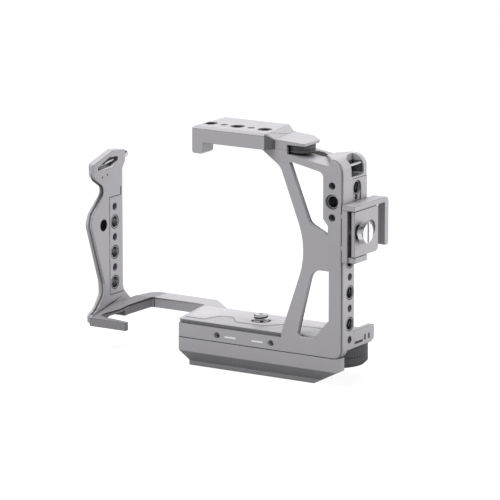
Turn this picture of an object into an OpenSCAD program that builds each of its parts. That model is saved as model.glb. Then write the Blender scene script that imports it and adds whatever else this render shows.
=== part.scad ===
// Metal cage for a mirrorless camera: a base with a dovetail foot, a lens-side brace and column,
// a top plate over the finder hump, a grip-side plate on a bent arm, and a cable clamp.
// Millimetres. Sizes are written from the lens axis (x), the base's front face (y, to the back)
// and the ground (z); the finished part is then centred over its own footprint.

/* [Base] */
// Lens axis to the left end of the base
base_left = 36.5; // [30:0.1:40]
// Lens axis to the outer side face of the column
side_x = 54.1; // [52:0.1:58]
// Depth of the base, front to back
base_d = 30; // [28:0.5:34]
// Height of the upper block of the base
base_h = 8.7; // [8:0.1:11]
// Height of the dovetail foot plate below it
foot_h = 14.8; // [13:0.1:17]
// Height over which the foot plate's long edges are cut away
foot_cut_h = 7.9; // [6:0.1:9]
// Depth of that cut
foot_cut_d = 5.5; // [4:0.1:7]
// Upright rim under the cut
foot_rim_h = 2.3; // [1.5:0.1:3]
// How far the left end runs out towards the back
left_slant = 4.9; // [0:0.1:8]
// How far the bottom rim stands in from the left end
end_cut_d = 3.3; // [2:0.1:5]
// Height of the shadow step under the top front strip
strip_h = 2.1; // [1:0.1:3]
// Depth of that step
strip_d = 1.5; // [0.5:0.1:2.5]

/* [Camera screw] */
// Distance of the camera screw behind the base's front face
screw_y = 15.6; // [14:0.1:17]
// Radius of the 1/4 inch thread
quarter_r = 3.175; // [3.1:0.005:3.25]
// How far the thread stands above the seat pad
screw_up = 3.2; // [2.5:0.1:4.5]
// Radius of the retaining collar
collar_r = 4.3; // [4.2:0.1:5]
// Radius of the slotted head
head_r = 7; // [6.5:0.1:8]

/* [Threaded holes] */
// Distance between one threaded hole and the next
hole_pitch = 15; // [14:0.5:16]
// Radius of a tapped 1/4 inch hole
tap_r = 2.6; // [2.5:0.01:2.7]
// Outer radius of a threaded bushing
bush_r = 3.4; // [3.2:0.05:3.8]
// Radius of a locating hole
locate_r = 1.8; // [1.5:0.05:2]
// Radius of the two small tapped holes in the base's front
front_r = 1.65; // [1.5:0.05:1.8]

/* [Column and brace] */
// Depth of the column, front to back
column_d = 10.8; // [10:0.1:12]
// Height of the column above the ground
column_top = 99; // [96:0.5:102]
// Thickness of the lens-side brace
brace_t = 2.6; // [2:0.1:3.5]
// Depth of the shoulder rail and the strap corner
rail_d = 22; // [19:0.5:24]
// Underside of the top plate above the base
hump_h = 87.4; // [84:0.1:92]
// Height of the strap corner above the ground
corner_top = 109; // [108:0.1:112]
// Radius of the strap corner's outer top edge
corner_r = 6; // [4:0.5:8]
// Rear block beside the column: its height
rear_h = 13.2; // [12:0.1:13.4]

/* [Top plate] */
// Left end of the top plate from the lens axis
top_left = 25.5; // [23:0.1:28]
// Right end of the top plate from the lens axis
top_right = 14.7; // [13:0.1:16]
// How far the top plate stands forward of the base's front face
top_front = 5; // [3:0.1:8]
// Depth of the top plate
top_d = 28; // [26:0.5:30]
// Thickness of the top plate
top_t = 7.4; // [6.5:0.1:8]
// Height of the hook below its left end
leg_h = 5.3; // [4:0.1:7]
// Width of that hook
leg_w = 6.2; // [5:0.1:8]
// Depth of that hook
leg_d = 9; // [7:0.1:12]
// Right end of the tongue from the lens axis
tongue_right = 33.5; // [32:0.1:35]
// Thickness of the tongue's free end
tongue_t = 1.2; // [1:0.1:2]

/* [Thumb wheels] */
// Radius of the small wheel under the tongue
small_wheel_r = 6.8; // [6:0.1:7.2]
// Radius of the large wheel under the base
wheel_r = 15.2; // [13:0.1:15.5]
// Height of the large wheel
wheel_h = 10.3; // [8:0.1:10.6]
// Running clearance of pins and screws in their bores
run_gap = 0.05; // [0.02:0.01:0.1]

/* [Grip side] */
// Lens axis to the inner face of the grip plate
grip_x = 87.8; // [84:0.1:92]
// Thickness of the grip plate
grip_t = 4.9; // [4:0.1:6]
// Depth of the grip plate's upper half
grip_d = 30; // [28:0.5:32]
// Height of the grip plate
grip_h = 83; // [80:0.5:88]
// Underside of the hook above the ground
hook_z = 13.3; // [12:0.1:14.5]
// Thickness of the arm
arm_t = 5; // [4:0.1:6]
// Depth of the arm behind the base
arm_d = 12.7; // [10:0.1:14]
// Lens axis to the end of the hook
hook_x = 67.1; // [62:0.1:70]

/* [Cable clamp] */
// Thickness of the clamp's back plate
clamp_t = 3.1; // [2.8:0.1:3.6]
// Lens axis to the clamp's outer face
clamp_x = 61; // [60.5:0.1:62]
// Underside of the clamp above the ground
clamp_z = 61.2; // [60:0.1:62]
// Height of the clamp
clamp_h = 27; // [26:0.1:29]
// Depth of the clamp's hook behind the column's front face
clamp_d = 30.2; // [28:0.1:32]
// Depth of the sliding jaw
jaw_d = 21.2; // [20:0.1:22]
// Thickness of the jaw's outer plate
jaw_t = 1.8; // [1.6:0.1:2]
// Half width of the jaw's stepped slot
slot_r = 4.1; // [3.9:0.1:4.4]
// Radius of the clamp screw's head
clamp_head_r = 5.1; // [4.6:0.1:5.6]

/* [Hidden] */

// Overrun of every cut, gap between parts that move, and a fine joint line
over = 1;
slide_gap = 0.3;
fixed_gap = 0.05;
seam = 0.2;
arc_steps = 6;
round_fn = 64;
bore_fn = 32;

// Heights and half sizes that several pieces share
base_top = foot_h + base_h;
hump_z = base_top + hump_h;
top_z = hump_z + top_t;
half_pitch = hole_pitch / 2;
grip_out = grip_x + grip_t;
arm_back = base_d + arm_d;
clamp_top = clamp_z + clamp_h;

// Height of a share: up to the column's top it follows the column, above that the top plate's underside
column_share = 0.867;
function level(s) = s <= column_share ? base_top + s / column_share * (column_top - base_top)
    : column_top + (s - column_share) / (1 - column_share) * (hump_z - column_top);
function upright(shares) = [for (s = shares) [s[0] * side_x, max(level(s[1]), foot_h), s[2] * side_x]];

// Centre of the footprint, which becomes x = 0 and y = 0
clamp_head_t = 2.5;
clamp_reach = 2;
part_right = clamp_x + clamp_reach + clamp_head_t;
centre_x = (part_right - grip_out) / 2;
centre_y = (arm_back - top_front) / 2;

// Anodised metal in the tones of its pieces, dark metal, steel and rubber
metal = [0.66, 0.65, 0.67];
light_metal = [0.74, 0.73, 0.75];
dark_metal = [0.25, 0.25, 0.26];
steel = [0.82, 0.82, 0.83];
pad_grey = [0.70, 0.69, 0.71];

// Outline points from corners [x, y, radius]: a corner with a radius becomes an arc
function unit(v) = v / norm(v);
function flat(c) = [c[0], c[1]];
function arc(q, a, b, r, steps) = let(
    half = acos(a * b) / 2,
    mid = q + unit(a + b) * r / sin(half),
    from = q + a * r / tan(half) - mid,
    to = q + b * r / tan(half) - mid,
    start = atan2(from[1], from[0]),
    turn = atan2(from[0] * to[1] - from[1] * to[0], from * to)
) [for (k = [0:steps]) mid + r * [cos(start + turn * k / steps), sin(start + turn * k / steps)]];
function corner(p, q, n, steps) = q[2] == 0 ? [flat(q)]
    : arc(flat(q), unit(flat(p) - flat(q)), unit(flat(n) - flat(q)), q[2], steps);
function rounded(c, steps = arc_steps) = [for (i = [0:len(c) - 1])
    each corner(c[(i + len(c) - 1) % len(c)], c[i], c[(i + 1) % len(c)], steps)];
// Corners from shares of a width, a height and a radius unit, moved to an origin
function spread(shares, at, w, h, unit_r) =
    [for (s = shares) [at[0] + s[0] * w, at[1] + s[1] * h, s[2] * unit_r]];

// An outline drawn in x and z, made solid from y0 to y0 + t
module front_slab(points, y0, t) {
    translate([0, y0 + t, 0]) rotate([90, 0, 0]) linear_extrude(t) polygon(points);
}
// An outline drawn in y and z, made solid from x0 to x0 + t
module side_slab(points, x0, t) {
    translate([x0, 0, 0]) rotate([90, 0, 90]) linear_extrude(t) polygon(points);
}
// An outline drawn in x and y, made solid from z0 to z0 + t
module plan_slab(points, z0, t) {
    translate([0, 0, z0]) linear_extrude(t) polygon(points);
}
// A box between two corners
module block(low, high) {
    translate(low) cube(high - low);
}
// Cylinders along each axis, from a start point
module rod_z(at, r, l, fn = bore_fn) { translate(at) cylinder(h = l, r = r, $fn = fn); }
module rod_x(at, r, l, fn = bore_fn) { translate(at) rotate([0, 90, 0]) cylinder(h = l, r = r, $fn = fn); }
module rod_y(at, r, l, fn = bore_fn) { translate(at) rotate([-90, 0, 0]) cylinder(h = l, r = r, $fn = fn); }
// A tube along an axis
module tube_x(at, r, bore, l) {
    difference() { rod_x(at, r, l); rod_x(at - [over, 0, 0], bore, l + 2 * over); }
}
module tube_y(at, r, bore, l) {
    difference() { rod_y(at, r, l); rod_y(at - [0, over, 0], bore, l + 2 * over); }
}
module tube_z(at, r, bore, l) {
    difference() { rod_z(at, r, l); rod_z(at - [0, 0, over], bore, l + 2 * over); }
}
// A slot with round ends along y, cut through x
module slot_x(x0, t, y_a, y_b, z, r) {
    rod_x([x0, y_a, z], r, t);
    rod_x([x0, y_b, z], r, t);
    block([x0, y_a, z - r], [x0 + t, y_b, z + r]);
}

// The large thumb wheel's place, and the pocket that it turns in
wheel_x = side_x - 1.092 * wheel_r;
wheel_y = base_d - 0.52 * wheel_r;
wheel_top = foot_h + 0.27 * wheel_h;
wheel_gap = 2.4 * slide_gap;
pocket_r = wheel_r + wheel_gap;
pocket_top = wheel_top + 2 * slide_gap;
wall_share = 0.153;
// Plan of the pocket behind its round front: out to the right end and to the back
pocket_plan = [
    [wheel_x - pocket_r, wheel_y], [wheel_x - pocket_r, base_d + column_d],
    [side_x + column_d, base_d + column_d], [side_x + column_d, wall_share * base_d],
    [side_x - wheel_r / 2, wall_share * base_d], [wheel_x, wheel_y - pocket_r], [wheel_x, wheel_y]
];
module wheel_pocket() {
    plan_slab(pocket_plan, -over, pocket_top + over);
    rod_z([wheel_x, wheel_y, -over], pocket_r, pocket_top + over, round_fn);
}

// Foot plate: the long edges are cut away below, and the right end rises and is rounded
foot_right = side_x - 1.3 / 14.8 * foot_h;
foot_corner_r = 0.24 * foot_h;
foot_flat_share = 0.66;
foot_rise_share = 0.63;
foot_line = 0.3;
foot_side = [
    [foot_line, foot_h], [foot_line, foot_h - foot_line], [0, foot_h - foot_line], [0, foot_cut_h],
    [foot_cut_d, foot_rim_h], [foot_cut_d, 0],
    [base_d - foot_cut_d, 0], [base_d - foot_cut_d, foot_rim_h], [base_d, foot_cut_h], [base_d, foot_h]
];
foot_front = [
    [-base_left - left_slant, foot_h, 0], [-base_left - left_slant, 0, 0],
    [foot_flat_share * side_x, 0, foot_rim_h], [side_x, foot_rise_share * foot_h, 0], [side_x, foot_h, 0]
];
foot_plan = [
    [-base_left, 0, 0], [foot_right, 0, foot_corner_r], [foot_right, base_d, foot_corner_r],
    [-base_left - left_slant, base_d, 0]
];
// Wedge that bevels the left end below, turned with that end's slant
module end_bevel() {
    translate([-base_left, 0, 0]) rotate([0, 0, atan2(left_slant, base_d)])
        front_slab([[-over, foot_cut_h + over * foot_cut_h / end_cut_d], [end_cut_d, foot_rim_h],
            [end_cut_d, -over], [-over, -over]], -over, 2 * base_d);
}
// Foot screws: two in the middle of the plate's left half, one in front of the wheel's pocket
foot_screw_r = 2;
foot_screw_head_r = 3.8;
foot_screw_head_h = 3;
foot_screw_shares = [-0.82, -0.36, 0.47];
tripod_x = -0.59 * base_left;
tripod_deep = 0.7 * foot_h;
foot_screw_xs = [for (s = foot_screw_shares) s * base_left];
foot_screw_ys = [for (x = foot_screw_xs) x > 0 ? base_d * 0.37 : base_d / 2];
access_r = head_r + 3 * slide_gap;

module foot_plate() {
    color(metal) difference() {
        intersection() {
            side_slab(foot_side, -grip_x, grip_x + side_x + over);
            front_slab(rounded(foot_front), 0, base_d);
            plan_slab(rounded(foot_plan), 0, foot_h);
        }
        end_bevel();
        wheel_pocket();
        rod_z([0, screw_y, -over], access_r, foot_h + 2 * over, round_fn);
        rod_z([tripod_x, base_d / 2, -over], tap_r, tripod_deep + over);
        for (i = [0:len(foot_screw_xs) - 1]) {
            rod_z([foot_screw_xs[i], foot_screw_ys[i], -over], foot_screw_r + run_gap, foot_h + 2 * over);
            rod_z([foot_screw_xs[i], foot_screw_ys[i], -over], foot_screw_head_r + run_gap,
                foot_screw_head_h + seam + over);
        }
    }
}

// Socket screws that hold the foot plate to the base
module foot_screws() {
    reach = foot_h - foot_screw_head_h + base_h / 2;
    socket_r = foot_screw_r * 0.8;
    color(steel) for (i = [0:len(foot_screw_xs) - 1]) difference() {
        union() {
            rod_z([foot_screw_xs[i], foot_screw_ys[i], seam], foot_screw_head_r, foot_screw_head_h);
            rod_z([foot_screw_xs[i], foot_screw_ys[i], foot_screw_head_h + seam], foot_screw_r, reach - seam);
        }
        rod_z([foot_screw_xs[i], foot_screw_ys[i], -over], socket_r, foot_screw_head_h / 2 + over, 6);
    }
}

// Base: the seat pad's wavy front edge, as shares of the base's left length and depth
pad_shares = [
    [-0.97, 0.145, 0], [-0.70, 0.145, 0.05], [-0.60, 0.47, 0.08], [-0.415, 0.50, 0.08], [-0.26, 0.25, 0.08],
    [0.155, 0.25, 0.10], [0.41, 0.55, 0.10], [1.2, 0.60, 0], [1.2, 0.95, 0.05], [-1.09, 0.95, 0.05]
];
pad_t = 1.3;
pad_proud = 0.25;
pad_groove = 0.5;
pad_corners = spread(pad_shares, [0, 0], base_left, base_d, base_d);
head_h = 3.2;
head_room = head_h + 2 * slide_gap;
line_share = 0.19;
line_deep = 0.3;
line_h = 0.5;
line_z = foot_h + 0.29 * base_h;
hole_z = foot_h + 0.32 * base_h;
front_deep = 6;
tab_in = side_x * 0.135;
tab_t = 2.5;
base_plan = [
    [-base_left, 0], [side_x - tab_in, 0], [side_x - tab_in, base_d - seam],
    [-base_left - left_slant, base_d - seam]
];

module base_block() {
    skin_y = brace_t + fixed_gap;
    color(metal) difference() {
        union() {
            plan_slab(base_plan, foot_h, base_h);
            block([side_x - tab_in - over, column_d, foot_h], [side_x - tab_t, base_d - seam, base_top]);
        }
        // shadow step under the front strip, on the lens side of the brace
        block([-grip_x, -over, base_top - strip_h], [brace_foot_x, strip_d, base_top - strip_h * 0.12]);
        // room for the brace's foot, and the slope from its window up to the pad
        side_slab([[-over, foot_h - over], [skin_y, foot_h - over], [skin_y, window_low_z],
            [skin_y + base_top - window_low_z, base_top], [skin_y + base_top - window_low_z, base_top + over],
            [-over, base_top + over]], brace_foot_x, side_x - brace_foot_x);
        wheel_pocket();
        plan_slab(rounded(pad_corners), base_top - pad_t, pad_t + over);
        rod_z([0, screw_y, foot_h - over], collar_r + fixed_gap, base_h + 2 * over, round_fn);
        rod_z([0, screw_y, foot_h - over], access_r, head_room + over, round_fn);
        for (i = [0:len(foot_screw_xs) - 1])
            rod_z([foot_screw_xs[i], foot_screw_ys[i], foot_h - over], foot_screw_r + run_gap,
                base_h / 2 + seam + over);
        for (s = [-1, 1]) {
            rod_y([s * hole_pitch, -over, hole_z], front_r, front_deep + over);
            block([s * half_pitch - line_share * hole_pitch, -over, line_z],
                [s * half_pitch + line_share * hole_pitch, line_deep, line_z + line_h]);
        }
        rod_z([wheel_x, wheel_y, pocket_top - over], stud_r + fixed_gap, stud_in + over);
    }
}

// Thin pad that the camera stands on
module seat_pad() {
    color(pad_grey) difference() {
        plan_slab(rounded(spread(pad_shares, [0, pad_groove], 0.99 * base_left, 0.975 * base_d, base_d)),
            base_top - pad_t, pad_t + pad_proud);
        rod_z([0, screw_y, base_top - pad_t - over], collar_r + fixed_gap, pad_t + pad_proud + 2 * over,
            round_fn);
    }
}

// Camera screw: thread above, plain shank in the collar, slotted head below
collar_up = 0.7;
shank_low = foot_h + head_room;
shank_gap = 0.4;
shank_top = base_top + pad_proud + collar_up + slide_gap;
screw_top = base_top + pad_proud + screw_up;
module camera_screw() {
    slot_w = head_r * 0.26;
    slot_deep = head_h * 0.45;
    color(steel) difference() {
        union() {
            rod_z([0, screw_y, shank_low - head_h - slide_gap], head_r, head_h, round_fn);
            rod_z([0, screw_y, shank_low - slide_gap - seam], quarter_r - shank_gap,
                shank_top - shank_low + slide_gap + 2 * seam, round_fn);
            rod_z([0, screw_y, shank_top], quarter_r, screw_top - shank_top, round_fn);
        }
        block([-head_r - over, screw_y - slot_w / 2, shank_low - head_h - slide_gap - over],
            [head_r + over, screw_y + slot_w / 2, shank_low - head_h - slide_gap + slot_deep]);
    }
}
// Collar pressed into the base: the screw turns in it
module screw_collar() {
    color(steel) tube_z([0, screw_y, shank_low], collar_r, quarter_r - shank_gap + run_gap,
        shank_top - slide_gap - shank_low);
}

// Knurled wheel: a disc with grooves round its rim and a bevelled lower edge
module knurled(at, r, h, bore, count, groove_r, bevel) {
    difference() {
        translate(at) rotate_extrude($fn = round_fn) polygon([
            [bore, 0], [r - bevel, 0], [r, bevel], [r, h - bevel / 2], [r - bevel / 2, h], [bore, h]
        ]);
        out = r + groove_r * 0.45;
        for (k = [0:count - 1])
            rod_z(at + [out * cos(k * 360 / count), out * sin(k * 360 / count), -over], groove_r, h + 2 * over, 16);
    }
}

// Large lock wheel under the base, with a recess round its stud's head
stud_r = 3;
stud_in = 3;
stud_head_r = 5;
stud_head_h = 1.6;
wheel_knurls = 36;
wheel_low = wheel_top - wheel_h;
module lock_wheel() {
    color(dark_metal) difference() {
        knurled([wheel_x, wheel_y, wheel_low], wheel_r, wheel_h, stud_r + run_gap, wheel_knurls,
            wheel_r * 0.055, wheel_r * 0.12);
        rod_z([wheel_x, wheel_y, wheel_low - over], stud_head_r + slide_gap, stud_head_h + slide_gap + over);
    }
}
module lock_stud() {
    color(steel) {
        rod_z([wheel_x, wheel_y, wheel_low], stud_head_r, stud_head_h);
        rod_z([wheel_x, wheel_y, wheel_low + stud_head_h], stud_r,
            pocket_top + stud_in - wheel_low - stud_head_h);
    }
}

// Tab at the base's right end: it stands up behind the column and has three engraved marks
tab_up = 2.9;
tab_shares = [
    [0, 0.10, 0], [0.781, 0.10, 0], [0.961, 0.24, 0.05], [0.961, 1, 0.04], [0, 1, 0]
];
mark_deep = 0.35;
mark_w = 1;
module side_tab() {
    tab_low = pocket_top;
    mark_z = tab_low + 1.7 * mark_w;
    corners = spread(tab_shares, [column_d + fixed_gap, tab_low - 0.11 * (base_top + tab_up - tab_low)],
        base_d - column_d - fixed_gap, (base_top + tab_up - tab_low) * 1.11, base_d);
    color(metal) difference() {
        side_slab(rounded(corners), side_x - tab_t + fixed_gap, tab_t - fixed_gap);
        block([side_x - mark_deep, base_d * 0.39, mark_z], [side_x + over, base_d * 0.63, mark_z + mark_w]);
        for (s = [0.70, 0.82])
            block([side_x - mark_deep, base_d * s - mark_w / 2, mark_z + mark_w / 2],
                [side_x + over, base_d * s + mark_w / 2, mark_z + 3 * mark_w]);
    }
}

// Column: its front view, as shares of side_x and of hump_h above the base
column_shares = [
    [0.865, -0.1, 0], [1, -0.1, 0.07], [1, 0.867, 0], [0.806, 0.867, 0], [0.806, 0.655, 0.03],
    [0.854, 0.620, 0.018], [0.854, 0.567, 0], [0.865, 0.567, 0]
];
rebate = 0.8;
side_y = 6.95 / 10.8 * column_d;
side_hole_z = foot_h + 1.8 * base_h;
front_x = side_x - 5.7 / 10.8 * column_d;
front_hole_z = column_top - 1.34 * half_pitch;
rear_y = 9.4 / 10.8 * column_d;
side_big = [for (k = [0:2]) side_hole_z + k * hole_pitch];
side_small = [for (k = [0:4]) side_hole_z - half_pitch + k * hole_pitch];
bush_l = 5.5;
front_step_r = 3.55;
front_step = 0.7;
front_bush_deep = 8;
module column_slab(y0, t, right) {
    front_slab(rounded([for (c = upright(column_shares)) [min(c[0], right), c[1], c[2]]]), y0, t);
}
module side_column() {
    color(light_metal) difference() {
        union() {
            column_slab(0, rebate, side_x - rebate);
            column_slab(rebate, column_d - rebate, side_x);
        }
        // room for the rear block
        block([0, rear_y, column_top - rear_h - seam], [side_x + over, column_d + over, column_top + over]);
        wheel_pocket();
        for (z = side_big) {
            rod_x([side_x - bush_l, side_y, z], bush_r + fixed_gap, bush_l + over);
            rod_x([0, side_y, z], tap_r, side_x + over);
        }
        for (z = side_small) rod_x([side_x - bush_l, side_y, z], locate_r, bush_l + over);
        for (s = [-1, 1])
            rod_y([front_x, -over, front_hole_z + s * half_pitch], locate_r, 0.8 * bush_l + over);
        rod_y([front_x, -over, front_hole_z], front_step_r, front_step + over);
        rod_y([front_x, -over, front_hole_z], bush_r + fixed_gap, front_bush_deep + over);
    }
}
// Steel bushings in the column's three open side holes
module side_bushings() {
    color(steel) for (z = side_big) tube_x([side_x - bush_l, side_y, z], bush_r, tap_r, bush_l - seam);
}
module front_bushing() {
    color(steel) tube_y([front_x, front_step + seam, front_hole_z], bush_r, tap_r,
        front_bush_deep - front_step - seam);
}

// Block behind the column's top end, with a threaded hole over a small one
rear_hole_y = rear_y + fixed_gap + 1.14 * bush_r;
rear_hole_z = column_top - 4.7 / 13.2 * rear_h;
rear_small_z = rear_hole_z - 1.4 * bush_r;
rear_in = 0.83 * side_x;
rear_recess = 0.6;
module rear_block() {
    low = column_top - rear_h;
    color(light_metal) difference() {
        block([rear_in, rear_y + fixed_gap, low], [side_x, rail_d, column_top - seam]);
        rod_x([side_x - bush_l, rear_hole_y, rear_hole_z], bush_r + fixed_gap, bush_l + over);
        rod_x([0, rear_hole_y, rear_hole_z], tap_r, side_x + over);
        rod_x([0, rear_hole_y, rear_small_z], locate_r * 0.8, side_x + over);
        // round-ended recess round the two holes
        for (z = [rear_hole_z, rear_small_z])
            rod_x([side_x - rear_recess, rear_hole_y, z], bush_r + fixed_gap, rear_recess + over);
        block([side_x - rear_recess, rear_hole_y - bush_r - fixed_gap, rear_small_z],
            [side_x + over, rear_hole_y + bush_r + fixed_gap, rear_hole_z]);
    }
}
module rear_bushing() {
    color(steel) tube_x([side_x - bush_l, rear_hole_y, rear_hole_z], bush_r, tap_r, bush_l - rear_recess);
}

// Lens-side brace: front view in shares of side_x and of hump_h above the base
brace_shares = [
    [0.386, -0.1, 0], [0.386, 0, 0.02], [0.651, 0.472, 0.665], [0.377, 0.909, 0.148], [0.316, 0.935, 0],
    [0.466, 0.935, 0],
    [0.669, 0.621, 0.092], [0.854, 0.567, 0.018], [0.865, 0.567, 0], [0.865, -0.1, 0]
];
window_shares = [
    [0.695, 0.372, 0.111], [0.93, 0.372, 0], [0.93, 0.103, 0], [0.865, 0.103, 0.05], [0.712, -0.008, 0.045],
    [0.541, -0.008, 0.035]
];
window_low_z = level(window_shares[5][1]);
brace_foot_x = brace_shares[0][0] * side_x;
module lens_brace() {
    color(metal) difference() {
        front_slab(rounded(upright(brace_shares)), 0, brace_t);
        front_slab(rounded(upright(window_shares)), -over, brace_t + 2 * over);
    }
}

// Shoulder rail from the top plate to the column, its upper face falling to the right
rail_shares = [
    [0.189, 0.989, 0], [0.316, 0.935, 0], [0.466, 0.935, 0], [0.499, 0.940, 0], [0.806, 0.903, 0.055],
    [0.806, 0.867, 0], [0.871, 0.867, 0], [0.871, 0.940, 0], [0.442, 0.979, 0], [0.442, 1, 0], [0.189, 1, 0]
];
rail_end = rail_shares[7][0];
rail_end_z = level(rail_shares[7][1]);
rail_outline = rounded(upright(rail_shares));
small_wheel_x = 0.79 * tongue_right;
small_wheel_y = 0.39 * rail_d;
spot_deep = 2.1;
spot_z = hump_z - spot_deep;
module small_wheel_pocket(up_to) {
    rod_z([small_wheel_x, small_wheel_y, spot_z], small_wheel_r + 1.5 * slide_gap, up_to - spot_z, round_fn);
}
pocket_shares = [[0.88, 0.62], [1.07, 0.56], [1.16, 0.62], [1.08, 0.78], [0.97, 0.88], [0.87, 0.86]];
pocket_deep = 1.6;
module shoulder_rail() {
    pocket = spread([for (s = pocket_shares) [s[0], s[1], 0]], [0, 0], tongue_right, rail_d, 0);
    color(metal) difference() {
        front_slab(rail_outline, 0, rail_d);
        small_wheel_pocket(top_z);
        plan_slab(rounded(pocket), spot_z - pocket_deep, top_t);
    }
}

// Strap corner: a rounded block on the column's top, notched for a strap
corner_plan_shares = [
    [0.871, 0, 0], [1, 0, 0], [1, 1, 0.008], [0.69, 1, 0], [0.69, 0.62, 0.02], [0.80, 0.30, 0.03],
    [0.871, 0.08, 0]
];
corner_ramp_share = 0.84;
notch_shares = [0.36, 0.865];
notch_low = 0.09;
notch_high = 0.70;
notch_in = 0.885;
notch_r = 1;
pin_r = 0.65;
pin_x = 0.97 * side_x;
pin_z = column_top + 0.615 * (corner_top - column_top);
module strap_corner() {
    tall = corner_top - column_top;
    right = side_x - rebate;
    front = [[0.6 * side_x, column_top, 0], [side_x, column_top, 0], [side_x, corner_top, corner_r],
        [corner_ramp_share * side_x, corner_top, 2 * corner_r], [0.66 * side_x, corner_top - 0.15 * tall, 0]];
    leaf = [[rail_end * side_x, column_top, 0], [right, column_top, 0], [right, corner_top - rebate,
        corner_r - rebate], [rail_end * side_x, corner_top - rebate, rebate]];
    notch_z = column_top + notch_low * tall;
    notch_y = [notch_shares[0] * rail_d, notch_shares[1] * rail_d];
    notch_top = column_top + notch_high * tall;
    notch = [[notch_y[0], notch_z, notch_r], [notch_y[1], notch_z, notch_r], [notch_y[1], notch_top, notch_r],
        [notch_y[0], notch_top, notch_r]];
    notch_mouth = [[notch_in * side_x, notch_y[1]], [notch_in * side_x, rail_d * 0.68],
        [pin_x - 2 * pin_r, notch_y[0]], [side_x + over, notch_y[0]], [side_x + over, notch_y[1]]];
    color(light_metal) difference() {
        union() {
            intersection() {
                front_slab(rounded(front), rebate, rail_d - rebate);
                plan_slab(rounded(spread(corner_plan_shares, [0, 0], side_x, rail_d, side_x)), column_top,
                    tall + over);
            }
            front_slab(rounded(leaf), 0, rebate);
        }
        front_slab(rail_outline, -over, rail_d + 2 * over);
        block([0, -over, column_top - over], [rail_end * side_x, rail_d + over, rail_end_z]);
        side_slab(rounded(notch), notch_in * side_x, side_x);
        plan_slab(notch_mouth, notch_top - 2 * notch_r, tall);
        rod_y([pin_x, 2 * pin_r, pin_z], pin_r + fixed_gap, rail_d + over);
    }
}
// Steel pin that the strap loops round
module strap_pin() {
    color(steel) rod_y([pin_x, 2 * pin_r, pin_z], pin_r, rail_d - 4 * pin_r);
}

// Top plate with a hook at its left end and a row of five holes
top_row_y = top_d * 0.386 - top_front;
top_mid_x = -6.9 / 20.1 * (top_left + top_right) / 2;
top_plan = [
    [-top_left, -top_front, 1.5 * slide_gap], [top_right, -top_front, 0], [top_right, top_d - top_front, 0],
    [-top_left, top_d - top_front, leg_w / 2]
];
top_edge_r = 0.9;
top_bevel_d = 2.6;
top_bevel_h = 0.9;
// Wedge above the ramp from the plate down to the tongue, turned a little in plan
ramp_turn = 9.5;
ramp_run = 0.35 * top_t;
module ramp_cut() {
    translate([top_right, 0, 0]) rotate([0, 0, ramp_turn]) front_slab([[0, top_z], [ramp_run, tongue_root_z],
        [tongue_right, tongue_root_z], [tongue_right, top_z + over], [0, top_z + over]], -top_d, 3 * top_d);
}
module top_plate() {
    leg_side = [[-top_front, hump_z, 0], [-top_front, hump_z - leg_h, 0], [leg_d - top_front, hump_z - leg_h,
        leg_h * 0.3], [leg_d - top_front, hump_z, 0]];
    leg_front = [[-top_left, hump_z, 0], [-top_left, hump_z - leg_h, leg_h * 0.28],
        [leg_w - top_left, hump_z - leg_h, leg_h * 0.2], [leg_w - top_left, hump_z, 0]];
    face = [[-top_left, hump_z, 0], [top_right, hump_z, 0], [top_right, top_z, 0],
        [-top_left, top_z, top_edge_r]];
    crown = [[-top_front, hump_z], [top_d - top_front, hump_z], [top_d - top_front, top_z],
        [top_bevel_d - top_front, top_z], [-top_front, top_z - top_bevel_h]];
    color(light_metal) difference() {
        union() {
            intersection() {
                plan_slab(rounded(top_plan), hump_z, top_t);
                front_slab(rounded(face), -top_front, top_d);
                side_slab(crown, -top_left, top_left + top_right);
            }
            intersection() {
                front_slab(rounded(leg_front), -top_front, leg_d);
                side_slab(rounded(leg_side), -top_left, leg_w);
                plan_slab(rounded(top_plan), hump_z - leg_h, leg_h);
            }
        }
        ramp_cut();
        for (k = [-1:1]) {
            rod_z([top_mid_x + k * hole_pitch, top_row_y, hump_z - over], tap_r, top_t + 2 * over);
            rod_z([top_mid_x + k * hole_pitch, top_row_y, top_z - bush_l], bush_r + fixed_gap, bush_l + over);
        }
        for (s = [-1, 1])
            rod_z([top_mid_x + s * half_pitch, top_row_y, top_z - bush_l], locate_r, bush_l + over);
    }
}
module top_bushings() {
    color(steel) for (k = [-1:1])
        tube_z([top_mid_x + k * hole_pitch, top_row_y, top_z - bush_l], bush_r, tap_r, bush_l - 2 * seam);
}

// Tongue: falls from the top plate by a ramp and covers the small wheel
tongue_z = hump_z + 0.50 * top_t;
tongue_root_z = tongue_z + 0.1 * top_t;
tongue_low = tongue_z - tongue_t;
step_x = top_right + 0.14 * (tongue_right - top_right);
root_x = top_right + 0.49 * (tongue_right - top_right);
tongue_front = [
    [top_right, hump_z], [root_x, hump_z], [root_x, tongue_low], [tongue_right, tongue_low],
    [tongue_right, tongue_z], [step_x, tongue_root_z], [step_x, top_z], [top_right, top_z]
];
tongue_plan = [
    [top_right, -top_front, 0], [step_x, 0, 0], [tongue_right, 0, 0.6], [tongue_right, 0.63 * rail_d, 2],
    [0.78 * tongue_right, 0.93 * rail_d, 2], [top_right, rail_d, 0]
];
module top_tongue() {
    color(light_metal) difference() {
        intersection() {
            front_slab(tongue_front, -top_front, rail_d + top_front);
            plan_slab(rounded(tongue_plan), hump_z, top_t);
        }
        ramp_cut();
        small_wheel_pocket(tongue_low);
    }
}
small_knurls = 24;
top_stud_r = 2;
module top_wheel() {
    color(dark_metal) knurled([small_wheel_x, small_wheel_y, spot_z + slide_gap], small_wheel_r,
        tongue_low - spot_z - 2 * slide_gap, top_stud_r + run_gap, small_knurls, small_wheel_r * 0.08,
        small_wheel_r * 0.06);
}
module top_stud() {
    color(steel) rod_z([small_wheel_x, small_wheel_y, spot_z], top_stud_r, tongue_low - spot_z);
}

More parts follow.
